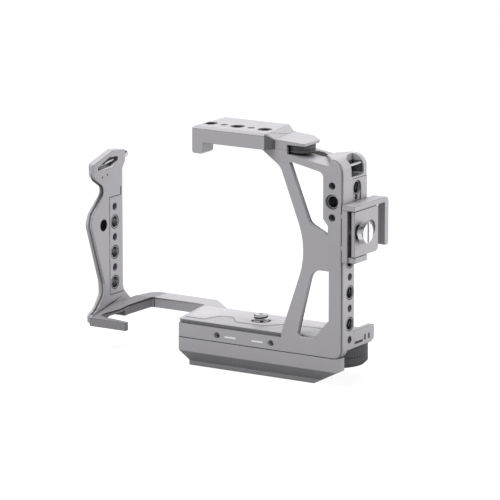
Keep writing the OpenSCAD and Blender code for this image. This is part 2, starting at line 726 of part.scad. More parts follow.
// Grip arm and ledge: one bent bar seen from above, sloping down to the hook in front
arm_side_shares = [[-0.06, 0.38], [0.05, 0.38], [0.71, 1], [1.05, 1]];
arm_top_z = base_top;
hook_top = hook_z + 0.8 * arm_t;
function arm_z(share) = hook_top + (share - 0.38) / 0.62 * (arm_top_z - hook_top);
arm_side = concat(
    [for (s = arm_side_shares) [s[0] * arm_back, arm_z(s[1])]],
    [for (k = [3:-1:0]) let(s = arm_side_shares[k])
        [s[0] * arm_back, hook_z + (s[1] - 0.38) / 0.62 * (arm_top_z - arm_t - hook_z)]]
);
ledge_w = grip_x - hook_x;
arm_joint_x = -hook_x - 0.2 * ledge_w;
arm_in_y = 0.738 * arm_back;
arm_plan = [
    [-0.52 * base_d - arm_d, base_d, 0], [-0.55 * base_d - 2 * arm_d, arm_back, 3], [arm_joint_x, arm_back, 0],
    [arm_joint_x, arm_in_y, 0], [-base_left - left_slant - 0.1 * arm_d, arm_in_y, 1],
    [-base_left - left_slant, base_d, 0]
];
module arm_profile(x0, l) { side_slab(arm_side, x0, l); }
module grip_arm() {
    color(light_metal) intersection() {
        arm_profile(arm_joint_x, -arm_joint_x);
        plan_slab(rounded(arm_plan), hook_z, base_top - hook_z);
    }
}
// Ledge under the grip plate and the hook in front of it
ledge_shares = [
    [0.20, 1, 0], [0.527, 1, 0.28], [0.652, 0.726, 0.2], [1, 0.431, 0], [1, 0, 0], [0, 0, 0], [0, 0.054, 0],
    [0.64, 0.087, 0.05], [0.88, 0.115, 0.07], [0.80, 0.19, 0.1], [0.60, 0.33, 0.3], [0.53, 0.46, 0.3],
    [0.24, 0.738, 0.1], [0.20, 0.738, 0]
];
// Relief under the ledge, between the hook and the arm's thick part
relief_shares = [0.105, 0.40];
relief_left = 1.9;
module grip_ledge() {
    ledge_plan = [for (s = ledge_shares) [-hook_x - s[0] * ledge_w, s[1] * arm_back, s[2] * ledge_w]];
    relief = [for (s = relief_shares) [s * arm_back, lookup(s, arm_side_shares)]];
    color(light_metal) difference() {
        intersection() {
            arm_profile(-grip_x, ledge_w);
            plan_slab(rounded(ledge_plan), hook_z - over, base_top);
        }
        side_slab([[relief[0][0], 0], [relief[1][0], 0], [relief[1][0], arm_z(relief[1][1]) - relief_left],
            [relief[0][0], arm_z(relief[0][1]) - relief_left]], -grip_x + relief_left, ledge_w);
    }
}

// Grip plate: its outline in shares of its depth and height, and the line where the bevel along
// its front edge meets the outer face
grip_shares = [
    [0, 0, 0.027], [0, 0.049, 0.02], [0.217, 0.071, 0.10], [0.453, 0.153, 0.167], [0.440, 0.224, 0.20],
    [0.073, 0.587, 0.20], [0.120, 0.647, 0.133], [0.440, 0.755, 0.133], [0.400, 0.804, 0.133],
    [0.160, 0.859, 0.083], [0.160, 0.955, 0.05], [0.62, 1, 0.067], [1.05, 0.985, 0.05], [1.045, 0.918, 0.067],
    [0.965, 0.876, 0.10], [0.965, 0.159, 0.20], [1.183, 0.087, 0.033], [1.183, 0.065, 0.017],
    [1.033, 0.065, 0.1],
    [0.067, 0, 0.067]
];
grip_bevel_shares = [
    [0.17, -0.1, 0], [0.17, 0.045, 0.04], [0.34, 0.078, 0.10], [0.503, 0.153, 0.16], [0.49, 0.224, 0.20],
    [0.13, 0.587, 0.20], [0.21, 0.647, 0.133], [0.56, 0.755, 0.133], [0.52, 0.804, 0.133],
    [0.25, 0.862, 0.083], [0.24, 0.94, 0.05], [0.80, 0.995, 0.05], [0.90, 1.03, 0], [2, 1.03, 0],
    [2, -0.1, 0]
];
bevel_angle = 36;
strap_slot_shares = [
    [0.267, 0.902, 0.02], [0.650, 0.907, 0.033], [0.840, 0.936, 0.027], [0.840, 0.957, 0.027],
    [0.617, 0.959, 0.033], [0.417, 0.933, 0.033], [0.267, 0.921, 0.02]
];
grip_row_y = 0.738 * grip_d;
grip_low_z = hook_z + 0.211 * grip_h;
grip_extra = [0.42 * grip_d, hook_z + 0.57 * grip_h];
grip_extra_r = 2.9;
panel_shares = [0.585, 0.94, 0.145, 0.722];
panel_line = 0.35;
pin_tilt = 6;
grip_pin_r = 1.1;
grip_pin_start = [0.21 * grip_d, hook_z + 0.912 * grip_h];
grip_pin_l = 0.87 * grip_d;
module grip_pin_rod(r, from, l) {
    translate([-grip_x - grip_t / 2, grip_pin_start[0], grip_pin_start[1]]) rotate([pin_tilt - 90, 0, 0])
        translate([0, 0, from]) cylinder(h = l, r = r, $fn = bore_fn);
}
module panel_groove() {
    y = [panel_shares[0] * grip_d, panel_shares[1] * grip_d];
    z = [hook_z + panel_shares[2] * grip_h, hook_z + panel_shares[3] * grip_h];
    block([-grip_x - panel_line, y[0], z[0]], [-grip_x + over, y[0] + panel_line, z[1]]);
    block([-grip_x - panel_line, y[0], z[1]], [-grip_x + over, y[1] + over, z[1] + panel_line]);
    block([-grip_x - panel_line, y[0], z[0] - panel_line], [-grip_x + over, y[1] + over, z[0]]);
    block([-grip_x - panel_line, y[1] - 3 * panel_line, z[1]], [-grip_x + over, y[1] - panel_line,
        z[1] + 0.05 * grip_h]);
}
module grip_plate() {
    bevel = rounded(spread(grip_bevel_shares, [0, hook_z], grip_d * cos(bevel_angle), grip_h, grip_d), 3);
    color(light_metal) difference() {
        intersection() {
            side_slab(rounded(spread(grip_shares, [0, hook_z], grip_d, grip_h, grip_d)), -grip_out, grip_t);
            translate([-grip_out, 0, 0]) rotate([0, 0, -bevel_angle]) side_slab(bevel, -2 * grip_d, 4 * grip_d);
        }
        side_slab(rounded(spread(strap_slot_shares, [0, hook_z], grip_d, grip_h, grip_d)), -grip_out - over,
            grip_t + 2 * over);
        for (k = [0:2]) {
            rod_x([-grip_out - over, grip_row_y, grip_low_z + k * hole_pitch], bush_r + fixed_gap,
                grip_t + 2 * over);
            rod_x([-grip_out - over, grip_row_y, grip_low_z + (k + 0.5) * hole_pitch], locate_r,
                grip_t + 2 * over);
        }
        rod_x([-grip_out - over, grip_extra[0], grip_extra[1]], grip_extra_r, grip_t + 2 * over);
        grip_pin_rod(grip_pin_r + run_gap, -over / 4, grip_pin_l + over);
        panel_groove();
    }
}
module grip_bushings() {
    color(steel) for (k = [0:2])
        tube_x([-grip_out + seam, grip_row_y, grip_low_z + k * hole_pitch], bush_r, tap_r, grip_t - 2 * seam);
}
module grip_pin() {
    color(dark_metal) {
        grip_pin_rod(grip_pin_r, 0, grip_pin_l);
        grip_pin_rod(grip_pin_r * 1.6, grip_pin_l, 2.7 * grip_pin_r);
    }
}

// Cable clamp: back plate with a lower lip and two teeth over the column's front edge
lip_h = 2.6 / 27 * clamp_h;
bar_h = 2.4 / 27 * clamp_h;
body_x = side_x + clamp_t;
clamp_axis_z = side_hole_z + 3 * hole_pitch;
clamp_axis_y = 0.39 * column_d;
shank_r = 2.2;
collar_big_r = 3.5;
tooth = 0.8;
tooth_half = 2.2;
dowel_zs = [clamp_axis_z - half_pitch, clamp_axis_z + half_pitch];
dowel_l = 2.6;
module clamp_body() {
    low = clamp_z;
    high = clamp_top - bar_h;
    color(light_metal) difference() {
        union() {
            block([side_x + fixed_gap, -tooth, low], [body_x, column_d, high]);
            block([body_x - over, 0, low], [clamp_x, column_d, low + lip_h]);
            for (z = dowel_zs) front_slab([[side_x - tooth, z], [side_x + tooth, z - tooth_half],
                [side_x + tooth, z + tooth_half]], -tooth, tooth - fixed_gap);
        }
        rod_x([0, clamp_axis_y, clamp_axis_z], shank_r + run_gap, clamp_x);
        for (z = dowel_zs) rod_x([side_x - over, side_y, z], locate_r, dowel_l / 2 + over);
    }
}
module clamp_dowels() {
    color(steel) for (z = dowel_zs) rod_x([side_x - dowel_l / 2, side_y, z], locate_r - fixed_gap, dowel_l);
}
// Hook: a bar over the jaw and a post behind it
post_t = 3.3;
module clamp_hook() {
    high = clamp_top;
    mid = clamp_top - bar_h;
    post_low = clamp_z + 0.15 * clamp_h;
    bar = [[-tooth, mid, 0], [clamp_d - post_t, mid, 0.8], [clamp_d - post_t, post_low, 0.8],
        [clamp_d, post_low, 1.3], [clamp_d, high, 2.6], [-tooth, high, 0]];
    color(light_metal) difference() {
        side_slab(rounded(bar), side_x + seam, clamp_x - side_x - seam);
        block([0, clamp_d - post_t - over, post_low - over], [body_x + seam, clamp_d + over, mid]);
    }
}
// Sliding jaw: an outer plate with a stepped slot, and a thicker back that rides on the body
slot_y = [clamp_axis_y - 0.1, 14 / 21.2 * jaw_d];
slot_step = 0.9;
slot_in_r = shank_r + slide_gap;
jaw_low = clamp_z + lip_h + slide_gap;
jaw_high = clamp_top - bar_h - slide_gap;
jaw_back_y = 3.4;
jaw_front = 0.4;
module clamp_jaw() {
    color(light_metal) difference() {
        union() {
            side_slab(rounded([[-jaw_front, jaw_low, jaw_front / 2], [jaw_d - jaw_front, jaw_low, 1.3 * jaw_t],
                [jaw_d - jaw_front, jaw_high, jaw_t / 2], [-jaw_front, jaw_high, jaw_front / 2]]),
                clamp_x - jaw_t, jaw_t);
            block([body_x + slide_gap, jaw_back_y, jaw_low + over],
                [clamp_x - jaw_t / 2, jaw_d - jaw_back_y / 2, jaw_high - over]);
        }
        slot_x(clamp_x - slot_step, slot_step + over, slot_y[0], slot_y[1], clamp_axis_z, slot_r);
        slot_x(body_x, clamp_x, slot_y[0], slot_y[1], clamp_axis_z, slot_in_r);
    }
}
// Clamp screw: shank in the body, a collar in the jaw's step and a slotted head
module clamp_screw() {
    head_x = clamp_x + clamp_reach;
    collar_x = clamp_x - slot_step + slide_gap / 3;
    slot_w = clamp_head_r * 0.24;
    slot_deep = clamp_head_t * 0.6;
    color(steel) difference() {
        union() {
            rod_x([side_x + slide_gap, clamp_axis_y, clamp_axis_z], shank_r, collar_x - side_x);
            rod_x([collar_x, clamp_axis_y, clamp_axis_z], collar_big_r, head_x - collar_x, round_fn);
            translate([head_x, clamp_axis_y, clamp_axis_z]) rotate([0, 90, 0]) rotate_extrude($fn = round_fn)
                polygon([[0, 0], [clamp_head_r, 0], [clamp_head_r, clamp_head_t * 0.8],
                    [clamp_head_r - clamp_head_t * 0.2, clamp_head_t], [0, clamp_head_t]]);
        }
        block([part_right - slot_deep, clamp_axis_y - slot_w / 2, clamp_axis_z - clamp_head_r - over],
            [part_right + over, clamp_axis_y + slot_w / 2, clamp_axis_z + clamp_head_r + over]);
    }
}

module placed() {
    translate([-centre_x, -centre_y, 0]) children();
}
placed() foot_plate();
placed() base_block();
placed() seat_pad();
placed() camera_screw();
placed() screw_collar();
placed() foot_screws();
placed() lock_wheel();
placed() lock_stud();
placed() side_tab();
placed() side_column();
placed() side_bushings();
placed() front_bushing();
placed() rear_block();
placed() rear_bushing();
placed() lens_brace();
placed() shoulder_rail();
placed() strap_corner();
placed() strap_pin();
placed() top_plate();
placed() top_bushings();
placed() top_tongue();
placed() top_wheel();
placed() top_stud();
placed() grip_arm();
placed() grip_ledge();
placed() grip_plate();
placed() grip_bushings();
placed() grip_pin();
placed() clamp_body();
placed() clamp_hook();
placed() clamp_jaw();
placed() clamp_screw();
placed() clamp_dowels();
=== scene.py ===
"""Camera cage: finishes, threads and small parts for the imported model, with a floor, lights and a camera.

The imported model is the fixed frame. Its nodes keep their meshes and get procedural metals here,
and the pieces that the eye looks for, such as threaded bushings and knurled wheels, are worked out
as surfaces and stand in for their nodes. Metres, +Z up, +Y from the lens side to the back.
"""

import math

import bmesh
import bpy
import numpy as np
from mathutils import Matrix, Vector


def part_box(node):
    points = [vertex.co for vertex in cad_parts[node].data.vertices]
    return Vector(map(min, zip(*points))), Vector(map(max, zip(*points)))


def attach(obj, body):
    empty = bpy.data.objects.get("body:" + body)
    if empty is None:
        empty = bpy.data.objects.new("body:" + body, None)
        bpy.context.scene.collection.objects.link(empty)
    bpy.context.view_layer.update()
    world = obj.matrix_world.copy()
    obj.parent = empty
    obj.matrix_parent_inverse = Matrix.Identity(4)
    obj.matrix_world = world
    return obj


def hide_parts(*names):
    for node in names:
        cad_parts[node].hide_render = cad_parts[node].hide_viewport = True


bl_info = {
    "name": "Camera cage finishes",
    "version": (1, 0, 0),
    "blender": (4, 5, 0),
    "location": "View3D > Sidebar > Cage",
    "description": "Finishes, threads and studio for a packed camera cage",
    "category": "Object",
}

MM = 0.001
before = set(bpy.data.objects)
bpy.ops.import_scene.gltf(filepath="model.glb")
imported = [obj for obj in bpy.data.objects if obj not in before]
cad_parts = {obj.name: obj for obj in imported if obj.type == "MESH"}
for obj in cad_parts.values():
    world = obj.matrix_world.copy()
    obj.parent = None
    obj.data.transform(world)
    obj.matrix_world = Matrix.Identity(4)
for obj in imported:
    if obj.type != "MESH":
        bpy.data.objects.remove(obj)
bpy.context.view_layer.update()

# The cage is drawn from the lens axis and the base's front face, in millimetres. The frame's
# origin is the middle of its box.
LENS_AXIS = 13.6
BASE_FRONT = -18.85

# Threads, in millimetres: the pitch of a quarter inch thread, the bore at its crests, and a bushing.
QUARTER_PITCH = 1.27
TAP_R = 2.6
BUSH_R = 3.4

# Faces and rows of holes that the pieces here sit on, in the same millimetres.
SIDE_FACE, SIDE_ROW_Y = 54.1, 6.95
COLUMN_ROW_X = 48.4
REAR_FACE, REAR_ROW_Y = 53.5, 13.326
GRIP_FACE, GRIP_ROW_Y = -87.8, 22.14
TOP_FACE, TOP_ROW_Y = 118.3, 5.808
ROW_PITCH = 15.0
SMALL_HOLE_R = 1.8
SCREW_Y, SCREW_TOP, THREAD_FOOT = 15.6, 26.95, 24.75
NOTCH_WALL, NOTCH_FLOOR = 47.86, 99.88
RIGHT, FRONT, UP = (1, 0, 0), (0, -1, 0), (0, 0, 1)

# The floor's glow when seen straight, and in a mirror: place from y -0.4 m to 0.2 m, and level there.
FLOOR_WHITE = 0.92
# The dip to 0.2 from place 0.60 to 0.71, just under the object, is a painted shadow.
FLOOR_MIRRORED_WITH_SHADOW = ((0.2, 0.66), (0.56, 0.56), (0.60, 0.20), (0.71, 0.20), (0.86, 0.92))

# Each lamp's place and width in metres. All face the middle of the object. The camera has a sensor
# 36 mm wide and a picture 500 pixels wide.
TOP_LAMP = (-0.1, 0.1, 0.95), 0.6
SIDE_LAMP = (0.9, 0.1, 0.35), 0.6
FRONT_LAMP = (-0.25, -0.6, 0.75), 0.5
OBJECT_MIDDLE = Vector((0, 0, 0.06))
SENSOR_MM, PICTURE_PX = 36.0, 500.0

# A direction that no bead's path runs along, to turn its rings from.
ASLANT = np.array([0.31, 0.83, 0.46])

# Nodes by finish. The flush ones meet without a seam, so their edges are left plain.
CAGE_NODES = ("foot_plate", "side_tab", "rear_block", "top_plate", "top_tongue", "grip_plate",
              "clamp_body", "clamp_hook", "clamp_jaw")
FLUSH_NODES = ("base_block", "lens_brace", "shoulder_rail", "side_column", "strap_corner", "grip_arm")
STEEL_NODES = ("foot_screws", "lock_stud", "strap_pin", "top_stud", "clamp_dowels", "screw_collar",
               "grip_pin")

# Sizes in the finishes, in millimetres: slow drift and cloud, fine wear on steel, and the heights of
# the bumps. A cut rim's metallic and roughness follow.
DRIFT_MM, CLOUD_MM, WEAR_MM = 26.0, 18.0, 0.7
GRAIN_BUMP_MM, WEAR_BUMP_MM, THREAD_BUMP_MM = 0.05, 0.03, 0.5
RIM_METALLIC, RIM_ROUGHNESS = 0.8, 0.22
POLISHED_HEX = "#F2F1F3"


def linear(hex_colour):
    """The linear RGBA of an sRGB hex colour: each channel below 0.04045 over 12.92, the others
    plus 0.055 over 1.055, to the power 2.4."""
    values = [int(hex_colour[i:i + 2], 16) / 255 for i in (1, 3, 5)]
    return [v / 12.92 if v <= 0.04045 else ((v + 0.055) / 1.055) ** 2.4 for v in values] + [1.0]


def per_mm(size):
    """Texture scale for a feature of this size in millimetres: one over its size in metres."""
    return 1.0 / (size * MM)


class Tree:
    """A node tree that is built a node at a time."""

    def __init__(self, owner):
        owner.use_nodes = True
        self.tree = owner.node_tree
        self.tree.nodes.clear()

    def add(self, kind, inputs=None, **settings):
        """Adds a node, sets its properties, and sets or links its inputs by name or index."""
        node = self.tree.nodes.new(kind)
        for key, value in settings.items():
            setattr(node, key, value)
        for key, value in (inputs or {}).items():
            if isinstance(value, bpy.types.NodeSocket):
                self.tree.links.new(value, node.inputs[key])
            else:
                node.inputs[key].default_value = value
        return node

    def ramp(self, value, stops):
        """A colour ramp over value, with stops of position and colour."""
        node = self.add("ShaderNodeValToRGB", {0: value})
        elements = node.color_ramp.elements
        while len(elements) < len(stops):
            elements.new(0.5)
        for element, (at, colour) in zip(elements, stops):
            element.position = at
            element.color = colour
        return node.outputs["Color"]


def shade(colour, factor):
    """The colour times a factor, alpha kept."""
    return [min(1.0, c * factor) for c in colour[:3]] + [1.0]


def blasted_metal(name, colour_hex, look, metallic, roughness, rim_strength=1.0):
    """Bead-blasted, anodised aluminium, which gives the eye a soft, satin grey: fine grain in the bump,
    slow drift in colour and roughness, and painted shade in corners. Real grain is near 0.1 mm, and is
    drawn coarser so that it shows. Softened edges are smoother and mirror more, as cut chamfers do, and
    their colour is drawn darker, a painted shade along the rims. rim_strength 0 leaves the edges plain."""
    material = bpy.data.materials.new(name)
    t = Tree(material)
    base = linear(colour_hex)
    at = t.add("ShaderNodeTexCoord").outputs["Object"]
    grain = t.add("ShaderNodeTexNoise", {"Vector": at, "Scale": per_mm(look.grain_mm), "Detail": 3.0,
                                         "Roughness": 0.6})
    drift = t.add("ShaderNodeTexNoise", {"Vector": at, "Scale": per_mm(DRIFT_MM), "Detail": 2.0})
    tint = t.ramp(drift.outputs["Fac"], [(0.3, shade(base, 0.96)), (0.7, shade(base, 1.04))])
    speck = t.ramp(grain.outputs["Fac"], [(0.25, [0.92, 0.92, 0.92, 1]), (0.75, [1, 1, 1, 1])])
    colour = t.add("ShaderNodeMix", {0: 1.0, 6: tint, 7: speck}, data_type="RGBA", blend_type="MULTIPLY")
    rough = t.add("ShaderNodeMapRange", {"Value": drift.outputs["Fac"], "From Min": 0.3, "From Max": 0.7,
                                         "To Min": roughness - 0.03, "To Max": roughness + 0.05})
    soft_mm = look.edge_mm * (0.3 + 0.7 * rim_strength)
    edge = t.add("ShaderNodeBevel", {"Radius": soft_mm * MM}, samples=4)
    flat = t.add("ShaderNodeNewGeometry").outputs["Normal"]
    bend = t.add("ShaderNodeVectorMath", {0: edge.outputs["Normal"], 1: flat}, operation="DOT_PRODUCT")
    rim = t.add("ShaderNodeMapRange", {"Value": bend.outputs["Value"], "From Min": 0.995, "From Max": 0.9,
                                       "To Max": rim_strength})
    # Painted shade: the colour darkens where ambient occlusion finds a corner close by.
    open_sky = t.add("ShaderNodeAmbientOcclusion", {"Distance": look.nook_mm * MM}, samples=6)
    painted_nook_shade = t.add("ShaderNodeMapRange", {"Value": open_sky.outputs["AO"], "From Min": 0.25, "From Max": 0.75,
                                        "To Min": look.nook_shade, "To Max": 1.0})
    # Painted shade along the rims: there the colour is the base times the rim tone, darker than the rest.
    painted_rim_shade = t.add("ShaderNodeMix", {0: rim.outputs[0], 6: colour.outputs[2],
                                    7: shade(base, look.rim_painted_shade)}, data_type="RGBA")
    colour = t.add("ShaderNodeMix", {0: 1.0, 6: painted_rim_shade.outputs[2], 7: painted_nook_shade.outputs[0]}, data_type="RGBA",
                   blend_type="MULTIPLY")
    bump = t.add("ShaderNodeBump", {"Strength": look.grain_depth, "Distance": GRAIN_BUMP_MM * MM,
                                    "Height": grain.outputs["Fac"], "Normal": edge.outputs["Normal"]})
    gloss = t.add("ShaderNodeMapRange", {"Value": rim.outputs[0], "To Min": metallic, "To Max": RIM_METALLIC})
    smooth = t.add("ShaderNodeMix", {0: rim.outputs[0], 2: rough.outputs["Result"], 3: RIM_ROUGHNESS})
    shader = t.add("ShaderNodeBsdfPrincipled", {"Base Color": colour.outputs[2],
                                                "Metallic": gloss.outputs["Result"],
                                                "Roughness": smooth.outputs[0],
                                                "Normal": bump.outputs["Normal"]})
    t.add("ShaderNodeOutputMaterial", {"Surface": shader.outputs[0]})
    return material


def bright_steel(name, colour_hex, roughness=0.16, thread_from=None):
    """Turned stainless steel, which gives the eye bright and dark bands like a mirror's, with a fine
    cloudy wear. Above thread_from, in millimetres, the bump has a thread's ridges along Z."""
    material = bpy.data.materials.new(name)
    t = Tree(material)
    base = linear(colour_hex)
    at = t.add("ShaderNodeTexCoord").outputs["Object"]
    fine = t.add("ShaderNodeTexNoise", {"Vector": at, "Scale": per_mm(WEAR_MM), "Detail": 4.0})
    tint = t.ramp(fine.outputs["Fac"], [(0.3, shade(base, 0.9)), (0.7, shade(base, 1.05))])
    height, depth = fine.outputs["Fac"], WEAR_BUMP_MM
    if thread_from is not None:
        z = t.add("ShaderNodeSeparateXYZ", {0: at}).outputs["Z"]
        turn = t.add("ShaderNodeMath", {0: z, 1: QUARTER_PITCH * MM}, operation="PINGPONG")
        ridge = t.add("ShaderNodeMapRange", {"Value": turn.outputs[0], "From Min": 0.0,
                                             "From Max": QUARTER_PITCH * MM})
        above = t.add("ShaderNodeMath", {0: z, 1: thread_from * MM}, operation="GREATER_THAN")
        height = t.add("ShaderNodeMath", {0: ridge.outputs[0], 1: above.outputs[0]},
                       operation="MULTIPLY").outputs[0]
        depth = THREAD_BUMP_MM
    edge = t.add("ShaderNodeBevel", {"Radius": 0.15 * MM}, samples=4)
    bump = t.add("ShaderNodeBump", {"Strength": 0.7, "Distance": depth * MM, "Height": height,
                                    "Normal": edge.outputs["Normal"]})
    shader = t.add("ShaderNodeBsdfPrincipled", {"Base Color": tint, "Metallic": 1.0,
                                                "Roughness": roughness, "Normal": bump.outputs["Normal"]})
    t.add("ShaderNodeOutputMaterial", {"Surface": shader.outputs[0]})
    return material


def plain_coat(name, colour_hex, grain_mm, bump_mm, roughness, specular=0.35):
    """A matt coat, such as rubber, paint or blackened steel, which gives the eye a flat tone with no
    mirror in it: grain in the bump, a faint cloud in the colour."""
    material = bpy.data.materials.new(name)
    t = Tree(material)
    base = linear(colour_hex)
    at = t.add("ShaderNodeTexCoord").outputs["Object"]
    grain = t.add("ShaderNodeTexNoise", {"Vector": at, "Scale": per_mm(grain_mm), "Detail": 4.0})
    cloud = t.add("ShaderNodeTexNoise", {"Vector": at, "Scale": per_mm(CLOUD_MM), "Detail": 3.0})
    tint = t.ramp(cloud.outputs["Fac"], [(0.3, shade(base, 0.95)), (0.7, shade(base, 1.03))])
    bump = t.add("ShaderNodeBump", {"Strength": 0.35, "Distance": bump_mm * MM,
                                    "Height": grain.outputs["Fac"]})
    shader = t.add("ShaderNodeBsdfPrincipled", {"Base Color": tint, "Roughness": roughness,
                                                "Specular IOR Level": specular,
                                                "Normal": bump.outputs["Normal"]})
    t.add("ShaderNodeOutputMaterial", {"Surface": shader.outputs[0]})
    return material


def give(names, material):
    """Puts the material in every slot of the named CAD nodes."""
    for name in names:
        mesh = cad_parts[name].data
        if not mesh.materials:
            mesh.materials.append(material)
        for i in range(len(mesh.materials)):
            mesh.materials[i] = material


def spot(x, y, z):
    """A point given from the lens axis and the base's front, in millimetres, in the frame's metres."""
    return np.array([x + LENS_AXIS, y + BASE_FRONT, z]) * MM


def circle(steps):
    """The unit circle: cosine and sine of evenly spaced angles."""
    angle = np.linspace(0, 2 * math.pi, steps, endpoint=False)
    return np.stack([np.cos(angle), np.sin(angle)], axis=1)


def tablet(half_u, half_v, steps=48, power=9):
    """A rectangle with soft corners: half widths times the signed cosine and sine, each raised to two
    over the power, which squares the corners as it grows."""
    unit = circle(steps)
    return np.sign(unit) * np.abs(unit) ** (2 / power) * [half_u, half_v]


def shell(outline, scale, height, centre, axis, slots=None):
    """A closed solid carried round an outline. Its point at step a and profile place k is the centre,
    plus outline[a] times scale[a, k] in the plane across the axis, plus height[k] along it, in
    millimetres. The profile's last point joins its first."""
    steps, count = scale.shape
    w = np.array(axis, float)
    u = np.array([0.0, 1.0, 0.0]) if abs(w[0]) > 0.5 else np.array([1.0, 0.0, 0.0])
    v = np.cross(w, u)
    spoke = outline[:, :1] * u + outline[:, 1:] * v
    points = centre + (scale[:, :, None] * spoke[:, None, :] + height[None, :, None] * w) * MM
    a, k = np.meshgrid(np.arange(steps), np.arange(count), indexing="ij")
    b, m = (a + 1) % steps, (k + 1) % count
    quads = np.stack([a * count + k, b * count + k, b * count + m, a * count + m], axis=-1)
    if slots is None:
        slots = np.zeros(count, int)
    return points.reshape(-1, 3), quads.reshape(-1, 4), np.tile(np.array(slots, int), steps)


def disc(outline, radius, low, high, centre, axis):
    """A flat solid of the outline times the radius, from height low to height high along the axis."""
    scale = np.tile([0.0, radius, radius, 0.0], (len(outline), 1))
    return shell(outline, scale, np.array([low, low, high, high]), centre, axis)


def make_piece(name, shells, materials, body="cage", corner=32.0):
    """One object of several closed shells: doubles are merged, normals turned outwards, and edges
    sharper than the corner angle are kept sharp. It rides on the body."""
    starts = np.cumsum([0] + [len(s[0]) for s in shells[:-1]])
    mesh = bpy.data.meshes.new(name)
    mesh.from_pydata(np.concatenate([s[0] for s in shells]), [],
                     np.concatenate([s[1] + n for s, n in zip(shells, starts)]))
    for material in materials:
        mesh.materials.append(material)
    mesh.polygons.foreach_set("material_index", np.concatenate([s[2] for s in shells]).astype(np.int32))
    bm = bmesh.new()
    bm.from_mesh(mesh)
    bmesh.ops.remove_doubles(bm, verts=bm.verts, dist=1e-8)
    bmesh.ops.recalc_face_normals(bm, faces=bm.faces)
    bm.to_mesh(mesh)
    bm.free()
    mesh.shade_smooth()
    mesh.set_sharp_from_angle(angle=math.radians(corner))
    obj = bpy.data.objects.new(name, mesh)
    bpy.context.scene.collection.objects.link(obj)
    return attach(obj, body)


def ridge(turns):
    """A thread's height, 0 at the root and 1 at the crest: 1.5 less 2.6 times the distance from the
    nearest whole number of turns, cut off below 0 and above 1, so that crests and roots are flat."""
    return np.clip(1.5 - 2.6 * np.abs(turns - np.round(turns)), 0, 1)


def threaded_bushing(mouth, axis, length, bottom=True):
    """A bushing whose mouth is at the given point: a face with a step round it in painted shadow, a
    countersink, and a bore in painted shade whose radius is the root's less the ridge at height over
    pitch plus angle."""
    steps = 64
    root, mouth_r, face_r = 2.95, 2.75, 3.0
    sunk, sink_low, ring_low, thread_high, floor_mm = -0.08, -0.35, -0.8, -0.65, 0.3
    turns = np.arange(steps) / steps
    deep = np.linspace(thread_high, -length, int(length / QUARTER_PITCH * 10))
    bore = root - (root - TAP_R) * ridge(-deep[None, :] / QUARTER_PITCH + turns[:, None])
    lip = np.array([root, mouth_r, face_r, face_r, BUSH_R, BUSH_R])
    lip_z = np.array([sink_low, sunk, sunk, ring_low, ring_low, -length])
    low = [-length, floor_mm - length] if bottom else []
    floor = np.zeros((steps, len(low)))
    scale = np.concatenate([np.tile(lip, (steps, 1)), floor, bore[:, ::-1]], axis=1)
    height = np.concatenate([lip_z, low, deep[::-1] + (floor_mm if bottom else 0.0)])
    slots = [0, 0, 1, 1, 1, 1] + [2] * (len(low) + len(deep))
    return shell(circle(steps), scale, height, mouth, axis, slots)


def lining(mouth, axis, radius, length, bottom):
    """A plain sleeve, without a thread, just inside a drilled hole: an outer and an inner radius turned
    round the axis, with a floor where the hole is blind."""
    outer, inner = radius - 0.012, radius - 0.07
    top, floor = -0.12, 0.06 - length
    if bottom:
        r = np.array([0, outer, outer, inner, inner, 0])
        z = np.array([-length, -length, top, top, floor, floor])
    else:
        r = np.array([outer, outer, inner, inner])
        z = np.array([-length, top, top, -length])
    return shell(circle(40), np.tile(r, (40, 1)), z, mouth, axis)


def bead(path, radius, closed_ends=0.15, sides=8):
    """A thin round bead along a path given from the lens axis and the base's front, in millimetres.
    A ring stands across the path at each point, and its radius falls to nothing at both ends."""
    p = np.array(path, float)
    way = np.gradient(p, axis=0)
    way /= np.linalg.norm(way, axis=1)[:, None]
    side = np.cross(way, ASLANT)
    side /= np.linalg.norm(side, axis=1)[:, None]
    other = np.cross(way, side)
    run = np.linspace(0, 1, len(p))
    r = radius * np.clip(np.minimum(run, 1 - run) / closed_ends, 0, 1) ** 0.5
    ring = circle(sides)
    spoke = ring[None, :, :1] * side[:, None] + ring[None, :, 1:] * other[:, None]
    points = p[:, None, :] + r[:, None, None] * spoke
    points = (points + [LENS_AXIS, BASE_FRONT, 0]) * MM
    a, k = np.meshgrid(np.arange(len(p) - 1), np.arange(sides), indexing="ij")
    m = (k + 1) % sides
    quads = np.stack([a * sides + k, (a + 1) * sides + k, (a + 1) * sides + m, a * sides + m], axis=-1)
    return points.reshape(-1, 3), quads.reshape(-1, 4), np.zeros(quads.size // 4, int)


def rounded_path(corners, per_corner=9):
    """A path through corners of x, y, z and radius. Each corner becomes a quadratic curve between the
    points where an arc of its radius would touch, radius times the tangent of half the turn away."""
    c = np.array(corners, float)
    out = [c[:1, :3]]
    for k in range(1, len(c) - 1):
        before, after = c[k - 1, :3] - c[k, :3], c[k + 1, :3] - c[k, :3]
        before, after = before / np.linalg.norm(before), after / np.linalg.norm(after)
        turn = math.pi - math.acos(float(np.clip(before @ after, -1, 1)))
        a = c[k, :3] + before * c[k, 3] * math.tan(turn / 2)
        b = c[k, :3] + after * c[k, 3] * math.tan(turn / 2)
        t = np.linspace(0, 1, per_corner)[:, None]
        out.append((1 - t) ** 2 * a + 2 * t * (1 - t) * c[k, :3] + t ** 2 * b)
    out.append(c[-1:, :3])
    return np.concatenate(out)


